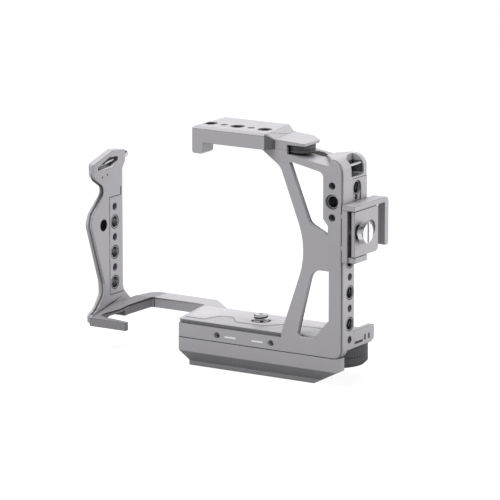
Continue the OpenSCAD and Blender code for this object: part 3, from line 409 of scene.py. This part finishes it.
def plate(corners, push):
    """A thin plate: its flat outline, given from the lens axis and the base's front in millimetres,
    drawn out by the push vector, with a cap of triangles from the middle on both sides."""
    ring = (np.array(corners, float) + [LENS_AXIS, BASE_FRONT, 0]) * MM
    far = ring + np.array(push, float) * MM
    middle = np.broadcast_to(ring.mean(axis=0), ring.shape)
    points = np.stack([middle, ring, far, middle + np.array(push) * MM], axis=1)
    steps = len(ring)
    a, k = np.meshgrid(np.arange(steps), np.arange(4), indexing="ij")
    b, m = (a + 1) % steps, (k + 1) % 4
    quads = np.stack([a * 4 + k, b * 4 + k, b * 4 + m, a * 4 + m], axis=-1)
    return points.reshape(-1, 3), quads.reshape(-1, 4), np.zeros(quads.size // 4, int)


def knurled_wheel(bottom, radius, height, bore, head_r, head_h, teeth, depth, bevel):
    """A wheel with a straight knurl: the rim's radius less depth times the distance to the nearest
    tooth's crest, two bevels, a turned line at mid height and a recess for the stud's head below."""
    steps = teeth * 4
    tooth = np.abs(np.mod(np.arange(steps) / 4.0, 1.0) - 0.5) * 2
    rim = radius - depth * (1 - tooth)
    line, line_half, line_deep = 0.46 * height, 0.28, 0.3
    # Each row is a radius, a height and how far the knurl cuts there.
    profile = [
        (bore, head_h, 0), (head_r, head_h, 0), (head_r, 0, 0), (radius - bevel - 0.2, 0, 0),
        (radius - bevel, 0.06, 0), (radius, bevel, 1), (radius, line - line_half, 1),
        (radius - line_deep, line, 0.5), (radius, line + line_half, 1), (radius, height - 0.5 * bevel, 1),
        (radius - 0.5 * bevel, height, 0), (bore, height, 0)
    ]
    scale = np.stack([r - (radius - rim) * cut for r, _, cut in profile], axis=1)
    return shell(circle(steps), scale, np.array([float(row[1]) for row in profile]), bottom, UP)


class CageLook(bpy.types.PropertyGroup):
    """Settings of the metals."""

    metal_hex: bpy.props.StringProperty(name="Metal", description="sRGB colour of the anodised metal",
                                        default="#B6B4B8")
    dark_hex: bpy.props.StringProperty(name="Dark metal", description="sRGB colour of the knurled wheels",
                                       default="#69686B")
    steel_hex: bpy.props.StringProperty(name="Steel", description="sRGB colour of screws and bushings",
                                        default="#D2D1D3")
    # The colour inside the drilled holes is painted shade.
    bore_shade_hex: bpy.props.StringProperty(name="Bores", description="sRGB colour inside the drilled holes",
                                       default="#8E8D90")
    pad_hex: bpy.props.StringProperty(name="Pad", description="sRGB colour of the seat pad",
                                      default="#AAA8AC")
    mark_hex: bpy.props.StringProperty(name="Marks", description="sRGB colour of the painted lines",
                                       default="#F2F2F2")
    metallic: bpy.props.FloatProperty(name="Metallic", description="How much the anodised metal mirrors",
                                      default=0.45, min=0.0, max=1.0, subtype="FACTOR")
    roughness: bpy.props.FloatProperty(name="Roughness", description="Roughness of the anodised metal",
                                       default=0.38, min=0.1, max=1.0, subtype="FACTOR")
    grain_mm: bpy.props.FloatProperty(name="Grain", description="Size of the blasted grain in millimetres",
                                      default=0.35, min=0.1, max=2.0)
    grain_depth: bpy.props.FloatProperty(name="Grain depth", description="Strength of the grain's bump",
                                         default=0.35, min=0.0, max=1.0, subtype="FACTOR")
    edge_mm: bpy.props.FloatProperty(name="Edge", description="Radius of softened edges in millimetres",
                                     default=0.5, min=0.0, max=1.0)
    # The rim tone and the two nook settings size the painted shade along edges and in corners.
    rim_painted_shade: bpy.props.FloatProperty(name="Rim", description="Tone of the polished edges over the rest",
                                       default=0.72, min=0.2, max=2.0)
    nook_mm: bpy.props.FloatProperty(name="Nook size", description="Reach of the dark in corners, mm",
                                     default=3.0, min=0.1, max=20.0)
    nook_shade: bpy.props.FloatProperty(name="Nook shade", description="Tone in the tightest corners",
                                        default=0.4, min=0.0, max=1.0, subtype="FACTOR")


class CageStudio(bpy.types.PropertyGroup):
    """Settings of the camera and the lights."""

    focal_px: bpy.props.FloatProperty(name="Focal length", description="In pixels of a 500 pixel frame",
                                      default=4225.5, min=100.0)
    azimuth: bpy.props.FloatProperty(name="Azimuth", description="Camera angle round the object",
                                     default=math.radians(32.23), subtype="ANGLE", unit="ROTATION")
    elevation: bpy.props.FloatProperty(name="Elevation", description="Camera angle above the ground",
                                       default=math.radians(12.144), subtype="ANGLE", unit="ROTATION")
    camera_at: bpy.props.FloatVectorProperty(name="Camera", description="Place of the camera", size=3,
                                             default=(1.05040, -1.65758, 0.47811), subtype="TRANSLATION",
                                             unit="LENGTH")
    world: bpy.props.FloatProperty(name="World", description="Strength of the even light", default=0.42,
                                   min=0.0)
    top: bpy.props.FloatProperty(name="Top light", description="Power of the overhead panel in watts",
                                 default=9.5, min=0.0, unit="POWER")
    side: bpy.props.FloatProperty(name="Side light", description="Power of the right-hand panel in watts",
                                  default=6.0, min=0.0, unit="POWER")
    front: bpy.props.FloatProperty(name="Front light", description="Power of the high front panel in watts",
                                   default=7.2, min=0.0, unit="POWER")


def basis(azimuth, elevation):
    """Right, up and backward directions of a camera: it looks from the given azimuth, where 0 looks
    along +Y and 90 along -X, down by the elevation."""
    ca, sa, ce, se = math.cos(azimuth), math.sin(azimuth), math.cos(elevation), math.sin(elevation)
    return Vector((ca, sa, 0)), Vector((-sa * se, ca * se, ce)), Vector((sa * ce, -ca * ce, se))


def panel_light(name, at, size, power):
    """A square area light that faces the middle of the object. Mirrors don't show it, because its
    hard edge would draw a broken white line along the rims."""
    data = bpy.data.lights.new(name, "AREA")
    data.energy = power
    data.size = size
    lamp = bpy.data.objects.new(name, data)
    lamp.location = at
    lamp.rotation_euler = (OBJECT_MIDDLE - Vector(at)).to_track_quat("-Z", "Y").to_euler()
    lamp.visible_glossy = False
    bpy.context.scene.collection.objects.link(lamp)


def floor_material():
    """Pale floor: seen straight it is a white glow with a faint diffuse that keeps the shadow. In a
    mirror its front half is dim, as the room behind the camera is, most of all at the right front,
    and it is bright behind; just under the object the mirrored glow dips, a painted shadow. Every
    other ray meets a plain grey diffuse."""
    material = bpy.data.materials.new("pale_floor")
    t = Tree(material)
    path = t.add("ShaderNodeLightPath")
    seen = t.add("ShaderNodeMath", {0: path.outputs["Is Camera Ray"], 1: path.outputs["Is Glossy Ray"]},
                 operation="MAXIMUM")
    seen = t.add("ShaderNodeMath", {0: seen.outputs[0], 1: path.outputs["Is Transmission Ray"]},
                 operation="MAXIMUM")
    at = t.add("ShaderNodeSeparateXYZ", {0: t.add("ShaderNodeTexCoord").outputs["Object"]})
    x, y = at.outputs["X"], at.outputs["Y"]
    place = t.add("ShaderNodeMapRange", {"Value": y, "From Min": -0.4, "From Max": 0.2})
    sweep = t.ramp(place.outputs["Result"], [(a, [v, v, v, 1]) for a, v in FLOOR_MIRRORED_WITH_SHADOW])
    right = t.add("ShaderNodeMapRange", {"Value": x, "From Min": 0.12, "From Max": 0.24, "To Min": 0.56,
                                         "To Max": 0.06})
    behind = t.add("ShaderNodeMapRange", {"Value": y, "From Min": -0.1, "From Max": 0.1})
    limit = t.add("ShaderNodeMath", {0: right.outputs["Result"], 1: behind.outputs["Result"]},
                  operation="ADD")
    sweep = t.add("ShaderNodeMath", {0: sweep, 1: limit.outputs[0]}, operation="MINIMUM").outputs[0]
    white = t.add("ShaderNodeMath", {0: path.outputs["Is Camera Ray"], 1: FLOOR_WHITE},
                  operation="MULTIPLY")
    level = t.add("ShaderNodeMath", {0: white.outputs[0], 1: sweep}, operation="MAXIMUM")
    plain = t.add("ShaderNodeBsdfDiffuse", {"Color": [0.14, 0.14, 0.14, 1]})
    faint = t.add("ShaderNodeBsdfDiffuse", {"Color": [0.12, 0.12, 0.12, 1]})
    glow = t.add("ShaderNodeEmission", {"Color": [1, 1, 1, 1], "Strength": level.outputs[0]})
    both = t.add("ShaderNodeAddShader", {0: faint.outputs[0], 1: glow.outputs[0]})
    mix = t.add("ShaderNodeMixShader", {0: seen.outputs[0], 1: plain.outputs[0], 2: both.outputs[0]})
    t.add("ShaderNodeOutputMaterial", {"Surface": mix.outputs[0]})
    return material


def sheet(name, half, z):
    """A square sheet of floor, at height z."""
    mesh = bpy.data.meshes.new(name)
    corners = [(-half, -half, z), (half, -half, z), (half, half, z), (-half, half, z)]
    mesh.from_pydata(corners, [], [(0, 1, 2, 3)])
    obj = bpy.data.objects.new(name, mesh)
    bpy.context.scene.collection.objects.link(obj)
    return obj


class CAGE_OT_metals(bpy.types.Operator):
    """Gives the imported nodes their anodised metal, steel and rubber"""

    bl_idname = "cage.metals"
    bl_label = "Finish the metals"

    def execute(self, context):
        look = context.scene.cage_look
        # Anodised aluminium: satin grey, with painted shade in its corners and along its cut rims.
        give(CAGE_NODES, blasted_metal("titanium_grey_anodised", look.metal_hex, look, look.metallic,
                                       look.roughness))
        # The same without rims, so that pieces milled as one show no joint.
        give(FLUSH_NODES, blasted_metal("flush_grey_anodised", look.metal_hex, look, look.metallic,
                                        look.roughness, rim_strength=0.0))
        # The ledge is the same metal, drawn a tone darker to stand for the shade on it.
        give(["grip_ledge"], blasted_metal("ledge_anodised", "#949296", look, look.metallic,
                                           look.roughness))
        # Bare steel: bright and dark bands. The thumb screw is polished, near white.
        give(STEEL_NODES, bright_steel("turned_steel", look.steel_hex))
        give(["camera_screw"], bright_steel("threaded_steel", look.steel_hex, thread_from=THREAD_FOOT))
        give(["clamp_screw"], bright_steel("polished_steel", POLISHED_HEX, roughness=0.2))
        # Rubber: a flat, pale tone that mirrors little.
        give(["seat_pad"], plain_coat("pale_rubber", look.pad_hex, 0.4, 0.08, 0.62, specular=0.25))
        return {"FINISHED"}


class CAGE_OT_bushings(bpy.types.Operator):
    """Makes the threaded bushings in place of their plain nodes"""

    bl_idname = "cage.bushings"
    bl_label = "Thread the bushings"

    def execute(self, context):
        look = context.scene.cage_look
        # Turned steel, dulled by use; the gap round it in black, a painted shadow; and a thread drawn dark,
        # painted shade in the bore.
        metals = [bright_steel("bushing_face", look.steel_hex, roughness=0.3),
                  plain_coat("shadow_ring", "#2E2D2F", 0.5, 0.03, 0.6, 0.2),
                  bright_steel("thread_painted_shade", "#8A898B", roughness=0.25)]
        side = [(spot(SIDE_FACE, SIDE_ROW_Y, 30.46 + ROW_PITCH * k), RIGHT, 5.5) for k in range(3)]
        grip = [(spot(GRIP_FACE, GRIP_ROW_Y, 30.813 + ROW_PITCH * k), RIGHT, 4.7, False)
                for k in range(3)]
        top = [(spot(-6.9 + ROW_PITCH * k, TOP_ROW_Y, TOP_FACE - 0.2), UP, 5.1) for k in (-1, 0, 1)]
        rows = {
            "side_bushings": side,
            "rear_bushing": [(spot(REAR_FACE, REAR_ROW_Y, 94.3), RIGHT, 4.9)],
            "front_bushing": [(spot(COLUMN_ROW_X, 0.9, 88.95), FRONT, 7.1)],
            "grip_bushings": grip,
            "top_bushings": top,
        }
        for node, places in rows.items():
            piece = make_piece(node + "_threaded", [threaded_bushing(*p) for p in places], metals)
            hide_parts(node)
        return {"FINISHED"}


class CAGE_OT_bores(bpy.types.Operator):
    """Lines the drilled holes, most of them with painted shade"""

    bl_idname = "cage.bores"
    bl_label = "Blacken the bores"

    def execute(self, context):
        look = context.scene.cage_look
        r = SMALL_HOLE_R
        holes = [lining(spot(SIDE_FACE, SIDE_ROW_Y, 22.96 + ROW_PITCH * k), RIGHT, r, 5.4, True)
                 for k in range(3)]
        holes += [lining(spot(COLUMN_ROW_X, 0, z), FRONT, r, 4.3, True) for z in (81.45, 96.45)]
        holes += [lining(spot(GRIP_FACE, GRIP_ROW_Y, 38.313 + ROW_PITCH * k), RIGHT, r, 4.8, False)
                  for k in range(3)]
        holes += [lining(spot(x, TOP_ROW_Y, TOP_FACE), UP, r, 5.4, True) for x in (-14.4, 0.6)]
        holes += [lining(spot(REAR_FACE, REAR_ROW_Y, 89.54), RIGHT, 1.44, 4.5, True)]
        # Painted shade in a drilled hole: a tone darker than the metal, with no shine.
        make_piece("bore_linings", holes,
                   [plain_coat("bore_painted_shade", look.bore_shade_hex, 0.5, 0.03, 0.7, 0.2)])
        # Tapped without oxide, so brighter.
        pair = [lining(spot(x, 0, 17.584), FRONT, 1.65, 6.0, True) for x in (-15, 15)]
        make_piece("pair_linings", pair, [plain_coat("tapped_bore", "#C4C3C5", 0.5, 0.03, 0.5, 0.4)])
        # Open behind and deep: painted shade, nearly black.
        plain = [lining(spot(GRIP_FACE, 12.6, 60.61), RIGHT, 2.9, 4.8, False)]
        make_piece("strap_hole_lining", plain,
                   [plain_coat("strap_hole_painted_shade", "#242325", 0.5, 0.03, 0.7, 0.2)])
        return {"FINISHED"}


class CAGE_OT_marks(bpy.types.Operator):
    """Paints the index lines on the base, and paints shade into the engraved marks on the tab and the grip
    plate
    """

    bl_idname = "cage.marks"
    bl_label = "Paint the marks"

    def execute(self, context):
        look = context.scene.cage_look
        dashes = [disc(tablet(3.1, 0.36), 1.0, -0.25, 0.02, spot(x, 0, 17.573), FRONT)
                  for x in (-7.5, 7.5)]
        # Paint in a shallow engraving: a flat, even white.
        make_piece("index_lines", dashes, [plain_coat("white_paint", look.mark_hex, 0.3, 0.02, 0.5)])
        marks = [disc(tablet(3.55, 0.46), 1.0, -0.34, -0.04, spot(SIDE_FACE, 15.3, 20.381), RIGHT)]
        marks += [disc(tablet(0.7, 1.3), 1.0, -0.34, 0.015, spot(SIDE_FACE, y, 21.631), RIGHT)
                  for y in (21, 24.6)]
        marks += [disc(circle(24), 0.55, -0.2, 0.02, spot(GRIP_FACE, y, z), RIGHT)
                  for y, z in ((12.0, 84.3), (16.2, 84.9))]
        # Painted shade laid in an engraving: a flat dark grey.
        make_piece("tab_marks", marks, [plain_coat("engraving_painted_shade", "#343335", 0.3, 0.02, 0.5)])
        return {"FINISHED"}


def rail_top(x):
    """Height of the sloping rail's upper face at x from the lens axis: a straight line."""
    return 109.021 - (x - 23.912) * 0.1503


class CAGE_OT_shadow_lines(bpy.types.Operator):
    """Paints shade on chamfers, seams and the pockets' inner faces, a highlight on the strap slot's lower rim
    and shade on its upper rim
    """

    bl_idname = "cage.shadow_lines"
    bl_label = "Darken chamfers and grooves"

    def execute(self, context):
        look = context.scene.cage_look
        # Painted shade in grooves and along chamfers: nearly black, with a faint shine.
        dark = plain_coat("groove_painted_shade", "#2F2E30", 0.4, 0.03, 0.55, 0.25)
        # The same metal inside a deep notch and on the slanted face under the tongue, drawn darker to stand
        # for the shade there.
        deep = blasted_metal("shaded_metal", "#737275", look, 0.6, 0.3)
        make_piece("chamfer_lines", self.chamfers() + self.rail_lines(), [dark])
        make_piece("notch_lining", self.notch_faces(), [deep])
        self.strap_slot(dark)
        self.grip_edge(look)
        return {"FINISHED"}

    def chamfers(self):
        """Beads of painted shade along the rear edges of the brace's windows, the arm's inner edge and the
        foot of the grip plate."""
        y = 2.30  # the windows' rear edge
        arm = [(-42.8, 31.45, 23.05, 0), (-71.9, 31.45, 23.05, 1.5), (-78.1, 19.6, 20.8, 3),
               (-79.5, 14.1, 19.6, 1.5), (-83.7, 8.1, 18.3, 1.5), (-84.9, 5.2, 17.6, 0)]
        foot_x = -87.75
        foot = [(foot_x, 4.5, 17.8, 0), (foot_x, 17, 20.6, 1), (foot_x, 29.3, 23.2, 0)]
        return [
            bead(rounded_path([(25.3, y, 104.8, 0), (36.19, y, 77.55, 4.9), (46.3, y, 72.84, 0)]), 0.28),
            bead(rounded_path([(37.1, y, 53.9, 0), (29.25, y, 22.8, 1.9), (38.5, y, 22.8, 0)]), 0.28),
            bead(rounded_path(arm), 0.32),
            bead(rounded_path(foot), 0.4),
        ]

    def rail_lines(self):
        """Painted shadow under the small wheel, and a dark bead along the waved seam from it to the corner.
        """
        pocket = [(29.9, 13.9), (35.8, 12.7), (38.2, 13.8), (35.9, 16.9), (32.5, 18.9), (29.6, 18.5)]
        seam = [(38.0, 13.8, 0), (41.3, 12.6, 1.5), (42.6, 8.2, 2), (46.6, 5.6, 1.5), (47.1, 0.2, 0)]
        return [plate([(x, y, rail_top(x) + 0.03) for x, y in pocket], (0, 0, -0.3)),
                bead(rounded_path([(x, y, rail_top(x) + 0.05, r) for x, y, r in seam]), 0.33)]

    def notch_faces(self):
        """Thin plates of painted shade on the strap notch's wall, floor and back, and on the slanted face
        where the tongue leaves the top plate."""
        x, low, high, step = NOTCH_WALL, 100.05, 106.0, 104.0
        near, far, middle = 8.1, 18.9, 15.0
        left, right, back = 47.9, 53.2, 19.05
        thin = 0.06
        wall = [(x, near, low), (x, far, low), (x, far, high), (x, middle, high), (x, middle, step),
                (x, near, step)]
        floor = [(left, near, NOTCH_FLOOR), (53.9, near, NOTCH_FLOOR), (53.9, far, NOTCH_FLOOR),
                 (left, far, NOTCH_FLOOR)]
        rear = [(left, back, 100.1), (right, back, 100.1), (right, back, high), (left, back, high)]
        slant = np.array([0.885, -0.466, 0])
        face = [(14.75, -4.95, 111), (17.3, -0.1, 111), (17.2, -0.2, 115.2), (14.75, -4.95, 118.0)]
        return [plate(wall, (thin, 0, 0)), plate(floor, (0, 0, thin)), plate(rear, (0, -thin, 0)),
                plate([np.array(c) - 0.25 * slant for c in face], 0.28 * slant)]

    def strap_slot(self, dark):
        """A painted highlight on the strap slot's lower rim, as a bright steel bead, and painted shade on its
        upper rim.
        """
        x = GRIP_FACE - 0.05
        lower = [(x, 8.6, 88.1, 0), (x, 19.3, 88.55, 3), (x, 24.6, 90.8, 0)]
        upper = [(x, 24.8, 92.6, 0), (x, 18.6, 92.85, 3), (x, 12.5, 90.8, 3), (x, 9.2, 89.9, 0)]
        make_piece("slot_lip", [bead(rounded_path(lower), 0.5)], [bright_steel("lip_painted_highlight", POLISHED_HEX)])
        make_piece("slot_shade", [bead(rounded_path(upper), 0.42)], [dark])

    def grip_edge(self, look):
        """A groove's dark band along the waved front edge of the grip plate."""
        x, inward, radius = -89.4, 0.6, 0.8
        outline = [(0.6, 17.54, 0), (6.51, 19.19, 3), (13.59, 26.0, 5), (13.2, 31.89, 6), (2.19, 62.02, 6),
                   (3.6, 67.0, 4), (13.2, 75.97, 4), (12.0, 80.03, 4), (4.8, 84.6, 2.5), (4.8, 91.8, 0)]
        band = bead(rounded_path([(x, y + inward, z, r) for y, z, r in outline]), radius, 0.03)
        # The same metal in a groove, drawn darker to stand for the shade in it.
        make_piece("edge_groove", [band], [blasted_metal("edge_groove_metal", "#7B7A7D", look, 0.6, 0.3)])


class CAGE_OT_screw_marks(bpy.types.Operator):
    """Winds painted shade along the thread's root round the camera screw, and paints shade in its socket, its
    collar's notches and the gap round the collar
    """

    bl_idname = "cage.screw_marks"
    bl_label = "Mark the camera screw"

    def execute(self, context):
        # Painted shade in the root of a thread, the socket, the notches and the gap: black with a soft shine.
        dark = plain_coat("screw_painted_shade", "#2B2A2C", 0.3, 0.02, 0.45, 0.4)
        winds, start, root_r, foot = 1.35, 2.2, 3.16, 24.95
        turn = np.linspace(0, winds, 90)
        angle = turn * 2 * math.pi + start
        path = np.stack([root_r * np.cos(angle), SCREW_Y + root_r * np.sin(angle),
                         foot + turn * QUARTER_PITCH], axis=1)
        socket = disc(circle(32), 1.0, -0.1, 0.02, spot(0, SCREW_Y, SCREW_TOP), UP)
        make_piece("screw_thread_root", [bead(path, 0.32, 0.08), socket], [dark], "camera_screw")
        make_piece("collar_notches", self.notches() + [self.gap_ring()], [dark])
        return {"FINISHED"}

    def notches(self):
        """Four notches for a spanner, as flat patches of painted shade on the collar's face, one at each
        angle.
        """
        middle, inner, outer, half = np.array([0, SCREW_Y, 24.47]), 3.3, 4.36, 0.8
        cuts = []
        for angle in (-2.15, -0.95, 0.2, 2.0):
            out = np.array([math.cos(angle), math.sin(angle), 0])
            across = np.array([-math.sin(angle), math.cos(angle), 0])
            patch = [middle + a * out + b * across
                     for a, b in ((inner, half), (outer, half), (outer, -half), (inner, -half))]
            cuts.append(plate(patch, (0, 0, -0.6)))
        return cuts

    def gap_ring(self):
        """The gap between the collar and the pad in painted shadow: a flat dark ring at the pad's face."""
        inner, outer = 4.25, 4.8
        face = spot(0, SCREW_Y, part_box("seat_pad")[1][2] / MM)
        return shell(circle(40), np.tile([inner, outer, outer, inner], (40, 1)),
                     np.array([-0.3, -0.3, 0.03, 0.03]), face, UP)


class CAGE_OT_wheels(bpy.types.Operator):
    """Makes the two knurled wheels in place of their nodes"""

    bl_idname = "cage.wheels"
    bl_label = "Knurl the wheels"

    def execute(self, context):
        look = context.scene.cage_look
        # Dark anodised aluminium: satin, a little darker than the cage.
        dark = blasted_metal("dark_grey_anodised", look.dark_hex, look, 0.35, 0.38)
        low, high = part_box("lock_wheel")
        wheel = knurled_wheel(spot(37.502, 22.096, low[2] / MM), radius=15.2, height=(high[2] - low[2]) / MM,
                              bore=3.05, head_r=6.0, head_h=2.6, teeth=96, depth=0.28, bevel=1.5)
        big = make_piece("lock_wheel_knurled", [wheel], [dark], "lock_wheel")
        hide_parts("lock_wheel")
        low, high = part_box("top_wheel")
        wheel = knurled_wheel(spot(26.465, 8.58, low[2] / MM), radius=6.8, height=(high[2] - low[2]) / MM,
                              bore=2.05, head_r=3.0, head_h=0.4, teeth=52, depth=0.22, bevel=0.5)
        small = make_piece("top_wheel_knurled", [wheel], [dark], "top_wheel")
        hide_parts("top_wheel")
        return {"FINISHED"}


def studio_world(strength):
    """A white sky for the camera and an even light for every other ray. A mirror meets neither, but a
    room that is dim in front and above, so that metal keeps its dark bands."""
    world = bpy.data.worlds.new("studio_world")
    bpy.context.scene.world = world
    t = Tree(world)
    path = t.add("ShaderNodeLightPath")
    light = t.add("ShaderNodeBackground", {"Color": [1, 1, 1, 1], "Strength": strength})
    white = t.add("ShaderNodeBackground", {"Color": [1, 1, 1, 1], "Strength": 1.0})
    way = t.add("ShaderNodeSeparateXYZ", {0: t.add("ShaderNodeTexCoord").outputs["Generated"]})
    sweep = t.add("ShaderNodeMapRange", {"Value": way.outputs["Y"], "From Min": 0.0, "From Max": 0.5,
                                         "To Min": 0.5, "To Max": 1.0})
    ceiling = t.add("ShaderNodeMapRange", {"Value": way.outputs["Z"], "From Min": 0.35, "From Max": 0.65,
                                           "To Min": 1.0, "To Max": 0.22})
    level = t.add("ShaderNodeMath", {0: sweep.outputs["Result"], 1: ceiling.outputs["Result"]},
                  operation="MULTIPLY")
    room = t.add("ShaderNodeBackground", {"Color": [1, 1, 1, 1], "Strength": level.outputs[0]})
    glossy = t.add("ShaderNodeMixShader", {0: path.outputs["Is Glossy Ray"], 1: light.outputs[0],
                                           2: room.outputs[0]})
    mix = t.add("ShaderNodeMixShader", {0: path.outputs["Is Camera Ray"], 1: glossy.outputs[0],
                                        2: white.outputs[0]})
    t.add("ShaderNodeOutputWorld", {"Surface": mix.outputs[0]})


def studio_camera(settings):
    """The camera: its lens in millimetres is the sensor's width times the focal length over the
    picture's width, both in pixels."""
    right, up, back = basis(settings.azimuth, settings.elevation)
    data = bpy.data.cameras.new("camera")
    data.sensor_width = SENSOR_MM
    data.lens = SENSOR_MM * settings.focal_px / PICTURE_PX
    data.clip_end = 30.0
    camera = bpy.data.objects.new("camera", data)
    turned = Matrix((right, up, back)).transposed().to_4x4()
    camera.matrix_world = Matrix.Translation(Vector(settings.camera_at)) @ turned
    bpy.context.scene.collection.objects.link(camera)
    bpy.context.scene.camera = camera


class CAGE_OT_studio(bpy.types.Operator):
    """Makes the floor, the world, the light panels and the camera"""

    bl_idname = "cage.studio"
    bl_label = "Set up the studio"

    def execute(self, context):
        settings = context.scene.cage_studio
        floor = sheet("floor", 6.0, -0.0002)
        floor.data.materials.append(floor_material())
        studio_world(settings.world)
        panel_light("top_panel", *TOP_LAMP, settings.top)
        panel_light("side_panel", *SIDE_LAMP, settings.side)
        panel_light("front_panel", *FRONT_LAMP, settings.front)
        studio_camera(settings)
        context.scene.view_settings.view_transform = "Standard"
        return {"FINISHED"}


class CAGE_PT_panel(bpy.types.Panel):
    """The add-on's buttons"""

    bl_idname = "CAGE_PT_panel"
    bl_label = "Camera cage"
    bl_space_type = "VIEW_3D"
    bl_region_type = "UI"
    bl_category = "Cage"

    def draw(self, context):
        for operator in OPERATORS:
            self.layout.operator(operator.bl_idname)


OPERATORS = (CAGE_OT_metals, CAGE_OT_bushings, CAGE_OT_bores, CAGE_OT_marks, CAGE_OT_shadow_lines,
             CAGE_OT_screw_marks, CAGE_OT_wheels, CAGE_OT_studio)
CLASSES = (CageLook, CageStudio, *OPERATORS, CAGE_PT_panel)


def register():
    """Registers the classes and hangs the settings on the scene."""
    for cls in CLASSES:
        bpy.utils.register_class(cls)
    bpy.types.Scene.cage_look = bpy.props.PointerProperty(type=CageLook)
    bpy.types.Scene.cage_studio = bpy.props.PointerProperty(type=CageStudio)


def unregister():
    """Takes the settings and classes away again."""
    del bpy.types.Scene.cage_studio
    del bpy.types.Scene.cage_look
    for cls in reversed(CLASSES):
        bpy.utils.unregister_class(cls)


def main():
    register()
    bpy.ops.cage.metals()
    bpy.ops.cage.bushings()
    bpy.ops.cage.bores()
    bpy.ops.cage.marks()
    bpy.ops.cage.shadow_lines()
    bpy.ops.cage.screw_marks()
    bpy.ops.cage.wheels()
    bpy.ops.cage.studio()


if __name__ == "__main__":
    main()
